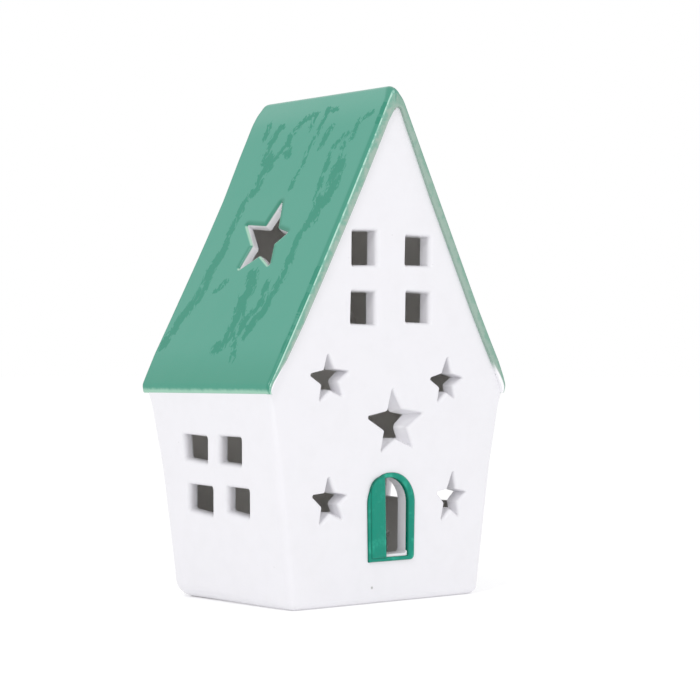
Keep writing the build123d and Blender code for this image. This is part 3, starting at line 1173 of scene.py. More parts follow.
    def end_rows(self, end: int) -> tuple[list[Array], list[float]]:
        """Rows of one rim, from the slope over the arris and across the rim to its return in the wall.

        Both arrises are quarter circles, held under a share of the rim's width where it narrows.

        Args:
            end: -1 for the front gable, 1 for the rear one.

        Returns:
            The rows, (n, 3) each, and each one's distance over the surface from the rim's flat.
        """
        across = self.rim_edge - self.points
        width = np.linalg.norm(across, axis=1, keepdims=True)
        across = across / np.maximum(width, TINY)
        arris = self.arris_round(end)[:, None]
        inner = np.minimum(self.inner_break, self.widest_break * width)
        turns = np.linspace(0, QUARTER_TURN, self.arris_steps)
        breaks = np.linspace(0, QUARTER_TURN, self.break_steps)
        reaches = [arris * (1 - math.cos(angle)) for angle in turns]
        reaches += [arris + (width - arris - inner) * share for share in self.rim_shares]
        reaches += [width - inner * (1 - math.sin(angle)) for angle in breaks]
        falls = [arris * (1 - math.sin(angle)) for angle in turns]
        falls += [np.zeros_like(arris)] * len(self.rim_shares)
        falls += [inner * (1 - math.cos(angle)) for angle in breaks]
        rows = []
        for reach, fall in zip(reaches, falls):
            section = self.points + across * reach
            y = self.sizes.roof_half_depth(section[:, 1]) - fall[:, 0]
            rows.append(self.in_space(section, end * y))
        y = self.sizes.half_depth(self.rim_edge[:, 1]) - self.rim_return
        rows.append(self.in_space(self.rim_edge, end * y))
        distances = [self.arris_span * (1 - angle / QUARTER_TURN) for angle in turns]
        distances += [-self.rim_span * share for share in (*self.rim_shares, *[1.0] * (len(breaks) + 1))]
        return rows, distances

    def gather(self) -> Skin:
        """Gather the slope, the underside, both rims, the ridge's seam and the heel, with the openings."""
        sizes = self.sizes
        skin = Skin({"across": 0.0, "up": 0.0, "edge": FAR_FROM_EDGE, "lip": FAR_FROM_EDGE,
                     "lip_y": 0.0, "depth": 0.0})
        halves = [sizes.roof_half_depth(self.points[:, 1]) - self.arris_round(end) for end in (-1, 1)]
        under_half = sizes.half_depth(self.underside[:, 1]) - self.rim_return
        full = float(halves[0].max())
        even = full - self.column_inset
        inner_columns = np.linspace(-even, even, int(2 * full / self.grid_step))
        outer_columns = np.array([full - self.support, full])
        columns = np.concatenate([-outer_columns[::-1], inner_columns, outer_columns]) / full
        wide = len(columns)
        half = np.where(columns < 0, halves[0][:, None], halves[1][:, None])
        top = self.in_space(self.points[:, None].repeat(wide, 1), half * columns)
        under = self.in_space(self.underside[:, None].repeat(wide, 1), under_half[:, None] * columns)
        seen_x = self.side.value * half * columns
        up = self.up_slope(self.places)[:, None].repeat(wide, 1)
        edge = np.minimum(self.arris_span + half * (1 - np.abs(columns)), FAR_FROM_EDGE)
        window = None
        if self.cutouts:
            window = self.window(up[:, 0], full * columns)
            self.fill_window(skin, window, top, under, seen_x, up)
        skin.add_grid(top, window=window, across=seen_x, up=up, edge=edge)
        skin.add_grid(under, window=window, across=seen_x, up=up, inside=1.0, depth=sizes.roof_thickness)
        front, distances = self.end_rows(-1)
        rear, _ = self.end_rows(1)
        for rows, last in ((front, under[:, 0]), (rear, under[:, -1])):
            grid = np.stack([*rows, last])
            edges = np.array([*distances, distances[-1]])
            skin.add_grid(grid, edge=edges, up=np.broadcast_to(up[:, 0], grid.shape[:2]))
        for index in (0, -1):
            ring = np.concatenate([
                top[index], np.stack([row[index] for row in rear[1:]]), under[index][::-1],
                np.stack([row[index] for row in front[1:]])[::-1],
            ])
            flat = ring[:, [1, 2]] if index == 0 else ring[:, [1, 0]]
            skin.add_fill(Loop(flat, ring), inside=1.0)
        across, height = np.concatenate(skin.facts["across"]), np.concatenate(skin.facts["up"])
        skin.facts["brush"] = [self.strokes.cover(across, height)]
        return skin

    def window(self, up: Array, seen: Array) -> tuple[int, int, int, int]:
        """Rows and columns of the grid round the openings."""
        outline = self.cutouts[0].ring(self.mouth.spread + self.window_cells * self.grid_step)
        rows = np.flatnonzero((up < outline[:, 1].max()) & (up > outline[:, 1].min()))
        columns = np.flatnonzero(np.abs(seen) < np.abs(outline[:, 0]).max())
        return int(rows[0]), int(rows[-1]), int(columns[0]), int(columns[-1])

    def fill_window(self, skin: Skin, window: tuple[int, int, int, int], top: Array, under: Array,
                    seen_x: Array, up: Array) -> None:
        """Fill the window round the star, on the slope and on the underside.

        Args:
            skin: The skin that gets the patches.
            window: Rows and columns of the window.
            top: Grid of the slope.
            under: Grid of the underside.
            seen_x: Each grid point's x as seen from outside.
            up: Each grid point's distance up the slope.
        """
        row_0, row_1, column_0, column_1 = window
        cutout, thickness = self.cutouts[0], self.sizes.roof_thickness
        offsets, depths, flags = self.mouth.rows(thickness)
        flat_rings = np.zeros(len(self.lead))
        offsets = np.concatenate([offsets[0] + np.array(self.lead), offsets])
        depths = np.concatenate([flat_rings, depths])
        flags = np.concatenate([flat_rings, flags])
        rings = np.stack([cutout.ring(offset) for offset in offsets])
        solid = np.stack([self.at(ring, depth) for ring, depth in zip(rings, depths)])
        normals = unit(cutout.ring(self.clearance[0]) - cutout.ring(0.0))
        skin.add_grid(solid, closed=True, across=rings[..., 0], up=rings[..., 1], inside=flags,
                      lip=np.clip(offsets, 0, None), depth=depths,
                      lip_y=np.broadcast_to(normals[:, 1], rings.shape[:2]))

        def around(grid: Array) -> Array:
            """Values of a grid round the window."""
            return np.concatenate([
                grid[row_0, column_0:column_1], grid[row_0:row_1, column_1],
                grid[row_1, column_0 + 1:column_1 + 1][::-1], grid[row_0 + 1:row_1 + 1, column_0][::-1],
            ])

        inner = (slice(row_0 + 1, row_1), slice(column_0 + 1, column_1))
        scattered = np.stack([seen_x[inner], up[inner]], axis=-1).reshape(-1, 2)
        outside, within = offsets[0] + self.clearance[0], self.clearance[1]
        for grid, ring, depth, flag, room in (
                (top, 0, 0.0, 0.0, outside), (under, -1, thickness, 1.0, within)):
            clear = ~inside_loop(scattered, cutout.ring(room))
            own = Loop(scattered[clear], self.at(scattered[clear], depth))
            outer = Loop(np.stack([around(seen_x), around(up)], axis=1), around(grid))
            hole = Loop(rings[ring], solid[ring])
            skin.add_fill(outer, [hole], own, ("across", "up"), inside=flag, depth=depth)


LEFT_STROKES = Strokes((
    Stroke(((-20.7, 90.8), (-20.5, 87.6), (-21.0, 85.3)), 1.0, 0.85),
    Stroke(((-14.3, 88.7), (-15.7, 86.4), (-16.2, 84.1), (-16.5, 81.4), (-16.5, 79.3)), 1.2),
    Stroke(((-16.5, 79.3), (-14.4, 76.7), (-13.4, 74.6)), 1.9),
    Stroke(((-13.4, 74.6), (-14.8, 72.7), (-14.8, 70.3), (-14.6, 68.0), (-16.0, 65.7)), 1.4),
    Stroke(((-13.3, 74.9), (-11.9, 77.2), (-9.7, 79.7), (-8.0, 82.2), (-8.6, 85.0),
            (-7.0, 86.9), (-5.5, 89.1), (-3.2, 91.4), (0.0, 91.9)), 1.1, 0.8),
    Stroke(((-8.0, 82.2), (-5.8, 78.3)), 1.2, 0.8),
    Stroke(((4.4, 93.5), (5.0, 90.7), (4.2, 87.4), (3.8, 84.1), (3.2, 81.1), (2.7, 78.8),
            (3.0, 75.2), (2.2, 71.9), (1.5, 68.3), (1.5, 66.0)), 0.8, 0.85),
    Stroke(((8.5, 92.7), (6.2, 92.5)), 0.9, 0.8),
    Stroke(((0.2, 91.6), (-0.1, 88.9), (-0.1, 86.5)), 0.9, 0.7),
    Stroke(((9.7, 86.8), (8.5, 84.3), (7.9, 79.7)), 1.0, 0.8),
    Stroke(((25.4, 89.8), (21.2, 88.2), (20.9, 85.6), (20.6, 81.4)), 0.9, 0.7),
    Stroke(((17.5, 83.4), (14.5, 81.0), (14.1, 79.4)), 1.0, 0.75),
    Stroke(((18.1, 79.7), (18.2, 76.4), (19.4, 73.4)), 1.1, 0.9),
    Stroke(((19.6, 73.3), (19.8, 71.0), (19.5, 69.1)), 2.2),
    Stroke(((19.5, 69.1), (20.4, 65.2), (20.0, 62.0), (17.7, 59.3), (17.6, 54.8)), 2.1),
    Stroke(((13.7, 76.8), (14.1, 72.2), (14.5, 68.2), (14.8, 64.6), (15.3, 61.4)), 0.9, 0.85),
    Stroke(((-17.7, 62.7), (-18.1, 59.2), (-18.7, 54.6), (-18.3, 50.5), (-18.1, 45.3)), 1.2, 0.9),
    Stroke(((-18.1, 45.3), (-19.8, 39.7), (-19.6, 33.9), (-20.6, 28.9),
            (-23.2, 23.8), (-25.0, 18.8), (-26.1, 14.0)), 1.6),
    Stroke(((-10.5, 34.7), (-13.5, 32.4)), 1.1, 0.8),
    Stroke(((16.7, 54.1), (14.5, 48.7), (14.8, 41.5)), 1.1, 0.85),
    Stroke(((14.8, 41.5), (15.0, 37.1), (14.0, 32.7), (13.0, 27.3),
            (12.7, 24.1), (10.0, 20.9), (9.5, 16.6)), 1.3, 0.95),
    Stroke(((0.9, 37.1), (2.3, 32.0), (0.8, 28.8), (2.5, 23.2)), 1.9),
    Stroke(((2.5, 23.2), (2.3, 18.9), (2.0, 15.0), (-1.1, 12.4)), 1.7),
    Stroke(((2.7, 18.3), (7.1, 12.3), (8.4, 8.5)), 1.0, 0.8),
    Stroke(((9.2, 34.0), (10.0, 27.4), (6.3, 22.0), (6.5, 17.7)), 1.2, 0.85),
))

RIGHT_STROKES = Strokes((
    Stroke(((-21.0, 92.0), (-20.1, 80.5), (-21.4, 68.0), (-19.0, 57.0)), 1.6),
    Stroke(((-12.5, 93.0), (-12.0, 83.0), (-14.2, 71.0)), 1.1, 0.8),
    Stroke(((-4.0, 91.0), (-5.6, 79.0), (-3.9, 66.0), (-5.2, 50.0), (-4.1, 41.0)), 2.0),
    Stroke(((6.4, 93.5), (7.8, 82.0), (6.9, 70.5)), 1.2, 0.9),
    Stroke(((16.8, 90.0), (15.0, 78.5), (16.4, 63.0), (14.7, 52.0)), 1.7),
    Stroke(((23.5, 84.0), (24.2, 73.0)), 1.1, 0.7),
    Stroke(((-19.5, 46.0), (-21.4, 34.0), (-20.0, 21.0), (-21.7, 12.0)), 1.8),
    Stroke(((-11.0, 52.0), (-9.4, 39.0), (-10.9, 27.0)), 1.2, 0.8),
    Stroke(((2.0, 36.0), (0.6, 24.0), (2.4, 13.0)), 2.2),
    Stroke(((8.0, 48.0), (9.9, 34.0), (8.3, 20.0)), 1.2, 0.9),
    Stroke(((18.9, 43.0), (20.6, 30.0), (19.0, 17.0), (20.4, 9.0)), 1.6),
))


# Door


@dataclass
class DoorSurround(HousePiece):
    """The raised glazed band round the doorway.

    Attributes:
        outer, inner: Its outlines, in x and height.
        relief, bury, inner_bury: Its height over the wall, and its depth in the wall and in the doorway.
    """

    suffix: ClassVar[str] = "band"
    slot: ClassVar[str] = "door_paint"
    steps: ClassVar[int] = 13

    wall: EndWall
    outer: Cutout
    inner: Cutout
    relief: float = 0.7
    bury: float = 0.3
    inner_bury: float = 0.6

    def gather(self) -> Skin:
        """Gather the band: from outline to outline its height over the wall is (1 - |2 f - 1|^3)^(1/2)."""
        outer, inner = self.outer.ring(0.0), self.inner.ring(0.0)
        share = (1 - np.cos(np.linspace(0, math.pi, self.steps))) / 2
        height = self.relief * np.sqrt(np.clip(1 - np.abs(2 * share - 1) ** 3, 0, 1))
        rows = [self.wall.at(outer, self.bury)]
        rows += [self.wall.at(outer + (inner - outer) * f, -h) for f, h in zip(share, height)]
        rows += [self.wall.at(inner, self.inner_bury), self.wall.at(outer, self.bury)]
        skin = Skin({"crown": 0.0})
        crown = np.concatenate([[0.0], height / self.relief, [0.0, 0.0]])
        skin.add_grid(np.stack(rows), closed=True, crown=crown)
        return skin


@dataclass
class DoorLeaf(HousePiece):
    """The raised glazed half of the door that stays shut.

    Attributes:
        outline: Its outline, in x and height.
        relief, edge_relief: Its height over the wall, and that of its edge.
        shoulder: How far in from the outline it reaches its full height.
    """

    suffix: ClassVar[str] = "slab"
    slot: ClassVar[str] = "door_paint"
    steps: ClassVar[int] = 8

    wall: EndWall
    outline: Cutout
    relief: float = 1.1
    edge_relief: float = 0.45
    shoulder: float = 0.9
    bury: float = 0.3

    def gather(self) -> Skin:
        """Gather the pillow: a quarter ellipse in from its outline, and a level middle."""
        skin = Skin({"crown": 0.0})
        angle = np.linspace(0, QUARTER_TURN, self.steps)
        rings = [self.outline.ring(-self.shoulder * (1 - math.cos(a))) for a in angle]
        rows = [self.wall.at(rings[0], self.bury)]
        swell = self.relief - self.edge_relief
        rows += [self.wall.at(ring, -self.edge_relief - swell * math.sin(a)) for ring, a in zip(rings, angle)]
        skin.add_grid(np.stack(rows), closed=True, crown=np.concatenate([[0.0], np.sin(angle)]))
        skin.add_fill(Loop(rings[-1], rows[-1]), crown=1.0)
        skin.add_fill(Loop(rings[0], rows[0]))
        return skin


# Tealight


@dataclass
class Tealight:
    """The loose candle: a pressed foil cup, its wax and its wick.

    Attributes:
        centre: Middle of the cup's floor, in x, y and height.
        radius, height, wall: Outer radius, height and thickness of the foil cup.
        wax_drop, wick_stand: How far the wax lies under the rim, and the wick stands over the wax.
        around, pole: Points of each turned row, and the radius at which it ends in a small flat face.
    """

    centre: Place = (0.0, 1.0, 4.2)
    radius: float = 18.8
    height: float = 15.0
    wall: float = 0.35
    rim_radius: float = 19.3
    flutes: int = 48
    flute_depth: float = 0.16
    wax_drop: float = 1.8
    wick_radius: float = 0.7
    wick_stand: float = 5.0
    around: int = 192
    pole: float = 0.01

    def turned(self, radii: Array, heights: Array, fluted: Array) -> Array:
        """Rows of a turned surface: radius r - depth w (1 + cos(n a)) / 2 at angle a.

        Args:
            radii: Radius of each row.
            heights: Height of each row over the cup's floor.
            fluted: How deep each row's flutes are, as a share of the full depth.

        Returns:
            Points, (rows, around, 3).
        """
        angle = np.linspace(0, 2 * math.pi, self.around, endpoint=False)
        wave = self.flute_depth * (1 + np.cos(self.flutes * angle)) / 2
        radius = radii[:, None] - fluted[:, None] * wave
        x = self.centre[0] + radius * np.cos(angle)
        y = self.centre[1] + radius * np.sin(angle)
        z = np.broadcast_to(self.centre[2] + heights[:, None], radius.shape)
        return np.stack([x, y, z], axis=2)

    def closed(self, rows: Array) -> Skin:
        """A skin of a closed grid with a flat face at each end."""
        skin = Skin()
        skin.add_grid(rows, closed=True)
        for index in (0, -1):
            skin.add(rows[index], [list(range(rows.shape[1]))])
        return skin

    def cup(self, finish: Material) -> None:
        """Make the cup: floor, fluted wall and rolled rim, closed as one skin.

        The floor is raised inside a ring 2 to 3 mm wide, and its edge has a radius of 1.2 mm outside and 1 mm
        inside. The wall is straight from 2 mm over the table to 1.6 mm under the rim, and inside from 1.8 mm
        to 1.2 mm. The flutes are full from 2.4 mm over the table to 2.5 mm under the rim, 0.8 mm deep itself.

        Args:
            finish: Material of the foil.
        """
        floor, floor_lift, foot, inner_foot = 0.6, 0.25, 1.2, 1.0
        turn = np.linspace(0, QUARTER_TURN, 6)
        curl = np.linspace(0, math.pi, 9)
        curl_radius = (self.rim_radius - self.radius + self.wall) / 2
        middle = self.rim_radius - curl_radius
        profile = [(self.pole, floor_lift), (self.radius - 3.0, floor_lift), (self.radius - 2.0, 0.0)]
        profile += [(self.radius - foot + foot * math.sin(a), foot * (1 - math.cos(a))) for a in turn]
        profile += [(self.radius, z) for z in np.linspace(2.0, self.height - 1.6, 5)]
        profile += [(self.rim_radius, self.height - 0.8), (self.rim_radius, self.height - curl_radius)]
        profile += [(middle + curl_radius * math.cos(a), self.height - curl_radius * (1 - math.sin(a)))
                    for a in curl[1:]]
        inner = self.radius - self.wall
        profile += [(inner, z) for z in np.linspace(self.height - 1.2, 1.8, 5)]
        profile += [(inner - inner_foot + inner_foot * math.cos(a),
                     self.wall + inner_foot - inner_foot * math.sin(a)) for a in turn]
        profile += [(self.radius - 3.0, floor), (self.pole, floor)]
        radii, heights = np.array(profile).T
        wall = smooth_step((heights - 0.8) / 1.6) * smooth_step((self.height - 1.3 - heights) / 1.2)
        skin = self.closed(self.turned(radii, heights, wall))
        piece = skin.build("tealight_cup_foil", finish, "cup_metal", "tealight")
        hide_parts("tealight_cup")

    def wax(self, finish: Material) -> None:
        """Make the wax: a disc that climbs at the foil and at the wick.

        It climbs by 0.3 exp(-d / 0.35) mm at a distance d from the foil and by 0.22 exp(-d / 0.7) mm at one
        from the wick, and sinks by 0.18 (1 - (r / reach)^2)^2 mm at a radius r.

        Args:
            finish: Material of the wax.
        """
        gap, edge, pole, floor = 0.02, 1.2, 0.05, 0.65
        top = self.height - self.wax_drop
        reach = self.radius - self.wall - gap
        outer = reach - edge * np.cos(np.linspace(0, 1.5, 8)[1:])
        radii = np.concatenate([np.linspace(1.0, reach - edge, 16), outer])
        climb = 0.3 * np.exp(-(reach - radii) / 0.35) + 0.22 * np.exp(-(radii - 1.0) / 0.7)
        heights = top - 0.3 + climb - 0.18 * (1 - (radii / reach) ** 2) ** 2
        radii = np.concatenate([[pole], radii, [reach, reach - 1.0, pole]])
        heights = np.concatenate([[top - 0.2], heights, [1.5, floor, floor]])
        fluted = np.where(heights > 1, 1.0, 0.0) * (radii > reach - 0.3)
        skin = self.closed(self.turned(radii, heights, fluted))
        piece = skin.build("tealight_wax_fill", finish, "candle_wax", "tealight")
        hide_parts("tealight_wax")

    def wick(self, finish: Material) -> None:
        """Make the wick: a braided cord, its section r (1 - c cos(3 a - t)) turning along its height.

        Its three strands take seven turns, and its tip is rounded over the last 3 per cent.

        Args:
            finish: Material of the cotton.
        """
        rows, columns, strands, turns, relief = 60, 24, 3, 7, 0.09
        foot, play, tip_start, tip_share, short = 0.7, 0.07, 0.97, 0.031, 0.02
        share = np.linspace(0, 1, rows)[:, None]
        angle = np.linspace(0, 2 * math.pi, columns, endpoint=False)[None, :]
        taper = np.sqrt(np.clip(1 - np.clip((share - tip_start) / tip_share, 0, 1) ** 2, 0, 1))
        wave = np.cos(strands * angle - 2 * turns * math.pi * share)
        radius = (self.wick_radius - play) * taper * (1 - relief * wave)
        height = foot + (self.height - self.wax_drop + self.wick_stand - foot - short) * share
        x = self.centre[0] + radius * np.cos(angle)
        y = self.centre[1] + radius * np.sin(angle)
        z = np.broadcast_to(self.centre[2] + height, radius.shape)
        skin = self.closed(np.stack([x, y, z], axis=2))
        piece = skin.build("tealight_wick_cord", finish, "wick_cotton", "tealight")
        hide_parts("tealight_wick")

    def build(self, foil: Material, wax: Material, cotton: Material) -> None:
        """Make the cup, the wax and the wick."""
        self.cup(foil)
        self.wax(wax)
        self.wick(cotton)


# Finishes


INSIDE: Pair = (0.02, 0.9)  # values of the attribute "inside" between which the clay is bare


def srgb(red: float, green: float, blue: float) -> Colour:
    """Linear colour of a picture colour given from 0 to 255."""
    share = np.array([red, green, blue]) / 255
    linear = np.where(share <= 0.04045, share / 12.92, ((share + 0.055) / 1.055) ** 2.4)
    return (*linear.tolist(), 1.0)


@dataclass
class Graph:
    """A node tree with short calls for what the finishes need."""

    tree: bpy.types.NodeTree

    def add(self, kind: str, inputs: Inputs | None = None, **settings: object) -> bpy.types.Node:
        """Add a node.

        Args:
            kind: Its type.
            inputs: Values or sockets for its inputs.
            **settings: Its properties.

        Returns:
            The node.
        """
        node = self.tree.nodes.new(kind)
        for key, value in settings.items():
            setattr(node, key, value)
        for key, value in (inputs or {}).items():
            self.feed(node.inputs[key], value)
        return node

    def feed(self, socket: Socket, value: object) -> None:
        """Link a socket to an input, or set the input's own value."""
        if isinstance(value, Socket):
            self.tree.links.new(value, socket)
        else:
            socket.default_value = value

    def math(self, operation: str, *values: object) -> Socket:
        """The result of an operation on numbers."""
        return self.add("ShaderNodeMath", dict(enumerate(values)), operation=operation).outputs[0]

    def plus(self, first: object, second: object) -> Socket:
        """The sum of two numbers."""
        return self.math("ADD", first, second)

    def times(self, first: object, second: object) -> Socket:
        """The product of two numbers."""
        return self.math("MULTIPLY", first, second)

    def ramp(self, value: object, span: Pair, to: Pair = (0.0, 1.0)) -> Socket:
        """An eased change from one value to another over a span."""
        inputs = {"Value": value, "From Min": span[0], "From Max": span[1], "To Min": to[0], "To Max": to[1]}
        return self.add("ShaderNodeMapRange", inputs, interpolation_type="SMOOTHSTEP").outputs["Result"]

    def mix(self, factor: object, first: object, second: object) -> Socket:
        """A mix of two colours."""
        node = self.add("ShaderNodeMix", data_type="RGBA")
        for index, value in ((0, factor), (6, first), (7, second)):
            self.feed(node.inputs[index], value)
        return node.outputs[2]

    def vector(self, operation: str, *values: object) -> bpy.types.Node:
        """The node of an operation on vectors."""
        return self.add("ShaderNodeVectorMath", dict(enumerate(values)), operation=operation)

    def place(self) -> Socket:
        """The place on the object."""
        return self.add("ShaderNodeTexCoord").outputs["Object"]

    def fact(self, name: str) -> Socket:
        """A point attribute of the mesh."""
        return self.add("ShaderNodeAttribute", attribute_name=name).outputs["Fac"]

    def noise(self, place: object, scale: float, detail: float, roughness: float) -> Socket:
        """Noise at a place."""
        inputs = {"Vector": place, "Scale": scale, "Detail": detail, "Roughness": roughness}
        return self.add("ShaderNodeTexNoise", inputs).outputs["Fac"]


def glaze_group() -> bpy.types.NodeTree:
    """Build the node group that every glazed piece uses.

    Its inputs are the sizes of its waves and mottling per metre, and it puts out the height of the glaze's
    slow waves, a mottling value from 0 to 1 and a mask of rare pinholes.

    Returns:
        The group.
    """
    pinhole, rare, fine_relief = (0.05, 0.14), (0.86, 0.9), 0.12
    group = bpy.data.node_groups.new("hand_glaze", "ShaderNodeTree")
    for name, value in (("Wave Scale", 120.0), ("Mottle Scale", 300.0), ("Speck Scale", 420.0)):
        socket = group.interface.new_socket(name, in_out="INPUT", socket_type="NodeSocketFloat")
        socket.default_value = value
    for name in ("Height", "Mottle", "Speck"):
        group.interface.new_socket(name, in_out="OUTPUT", socket_type="NodeSocketFloat")
    graph = Graph(group)
    source, result = graph.add("NodeGroupInput"), graph.add("NodeGroupOutput")
    place = graph.place()
    waves = graph.noise(place, source.outputs["Wave Scale"], detail=2.0, roughness=0.45)
    fine = graph.noise(place, source.outputs["Mottle Scale"], detail=3.0, roughness=0.6)
    cells = graph.add("ShaderNodeTexVoronoi", {"Vector": place, "Scale": source.outputs["Speck Scale"]})
    near = graph.ramp(cells.outputs["Distance"], pinhole, to=(1.0, 0.0))
    chosen = graph.ramp(cells.outputs["Color"], rare)
    graph.feed(result.inputs["Height"], graph.plus(waves, graph.times(fine, fine_relief)))
    graph.feed(result.inputs["Mottle"], fine)
    graph.feed(result.inputs["Speck"], graph.times(near, chosen))
    return group


@dataclass
class Canvas(Graph):
    """The node tree of one material, with its Principled BSDF and the shared glaze group."""

    shader: bpy.types.Node
    glaze: bpy.types.NodeTree

    def dress(self, name: str, value: object) -> None:
        """Give an input of the shader a value or a socket."""
        self.feed(self.shader.inputs[name], value)

    def bump(self, height: object, distance: float, strength: float) -> None:
        """Give the surface relief of a height in metres."""
        inputs = {"Height": height, "Distance": distance, "Strength": strength}
        self.dress("Normal", self.add("ShaderNodeBump", inputs).outputs["Normal"])

    def hand_glaze(self, waves: float, mottling: float) -> bpy.types.NodeOutputs:
        """The outputs of the shared group, with its waves and mottling in sizes per metre."""
        group = self.add("ShaderNodeGroup", node_tree=self.glaze)
        self.feed(group.inputs["Wave Scale"], waves)
        self.feed(group.inputs["Mottle Scale"], mottling)
        return group.outputs


@dataclass(frozen=True)
class Finish:
    """A procedural material: each kind paints its colour, roughness and relief.

    Attributes:
        name: Name of the material.
        roughness: Roughness of its surface.
        coat, coat_roughness: Weight and roughness of a clear coat over it.
        metallic: Whether it is metal.
        gloss: Strength of its mirror-like part.
    """

    name: str
    roughness: float = 0.4
    coat: float = 0.0
    coat_roughness: float = 0.08
    metallic: float = 0.0
    gloss: float = 0.5

    def build(self, glaze: bpy.types.NodeTree) -> Material:
        """Build the material.

        Args:
            glaze: The shared node group.

        Returns:
            The material.
        """
        material = bpy.data.materials.new(self.name)
        material.use_nodes = True
        tree = material.node_tree
        tree.nodes.clear()
        shader = Graph(tree).add("ShaderNodeBsdfPrincipled", {
            "Roughness": self.roughness, "Coat Weight": self.coat, "Metallic": self.metallic,
            "Coat Roughness": self.coat_roughness, "Specular IOR Level": self.gloss})
        output = Graph(tree).add("ShaderNodeOutputMaterial", {"Surface": shader.outputs[0]})
        output.is_active_output = True
        self.paint(Canvas(tree, shader, glaze))
        return material

    def paint(self, canvas: Canvas) -> None:
        """Link the colour, roughness and relief of the finish to its shader."""
        raise NotImplementedError


@dataclass(frozen=True)
class WhiteGlaze(Finish):
    """White glaze over clay, bare inside the house, with one dark speck low on the front.

    Attributes:
        shade: Its colour where the mottling is strongest.
        bisque, shaded_low_bisque: Colours of the bare clay, high in the house and low down, where it is
            darkened as painted shade.
        speck_place, speck_edge: Where the speck lies, and its radii from clear to full, in metres.
        low_shade_span: Heights in metres between which the painted shade on the clay sets in.
    """

    white: Colour = (0.80, 0.792, 0.827, 1.0)
    shade: Colour = (0.785, 0.777, 0.81, 1.0)
    bisque: Colour = (0.76, 0.745, 0.72, 1.0)
    shaded_low_bisque: Colour = (0.58, 0.566, 0.544, 1.0)
    speck: Colour = (0.36, 0.35, 0.34, 1.0)
    speck_place: Place = (-0.0069, -0.0277, 0.0047)
    speck_edge: Pair = (0.0006, 0.0002)
    low_shade_span: Pair = (0.052, 0.036)
    bare_roughness: float = 0.35

    def paint(self, canvas: Canvas) -> None:
        """Mottle the white, bare the clay inside with painted shade low down, and give the skin its slow waves.

        Args:
            canvas: The material's node tree.
        """
        hand = canvas.hand_glaze(waves=70.0, mottling=160.0)
        mottled = canvas.mix(canvas.ramp(hand["Mottle"], (0.35, 0.75)), self.white, self.shade)
        place = canvas.place()
        away = canvas.vector("DISTANCE", place, self.speck_place).outputs["Value"]
        pinholes = canvas.times(hand["Speck"], 0.2)
        speck = canvas.math("MAXIMUM", pinholes, canvas.ramp(away, self.speck_edge, to=(0.0, 0.9)))
        height = canvas.add("ShaderNodeSeparateXYZ", {"Vector": place}).outputs["Z"]
        # Painted shade: the bare clay darkens towards the floor inside the house.
        clay = canvas.mix(canvas.ramp(height, self.low_shade_span), self.bisque, self.shaded_low_bisque)
        inside = canvas.ramp(canvas.fact("inside"), INSIDE)
        canvas.dress("Base Color", canvas.mix(inside, canvas.mix(speck, mottled, self.speck), clay))
        canvas.dress("Roughness", canvas.plus(self.roughness, canvas.times(inside, self.bare_roughness)))
        canvas.bump(hand["Height"], distance=0.0006, strength=0.35)


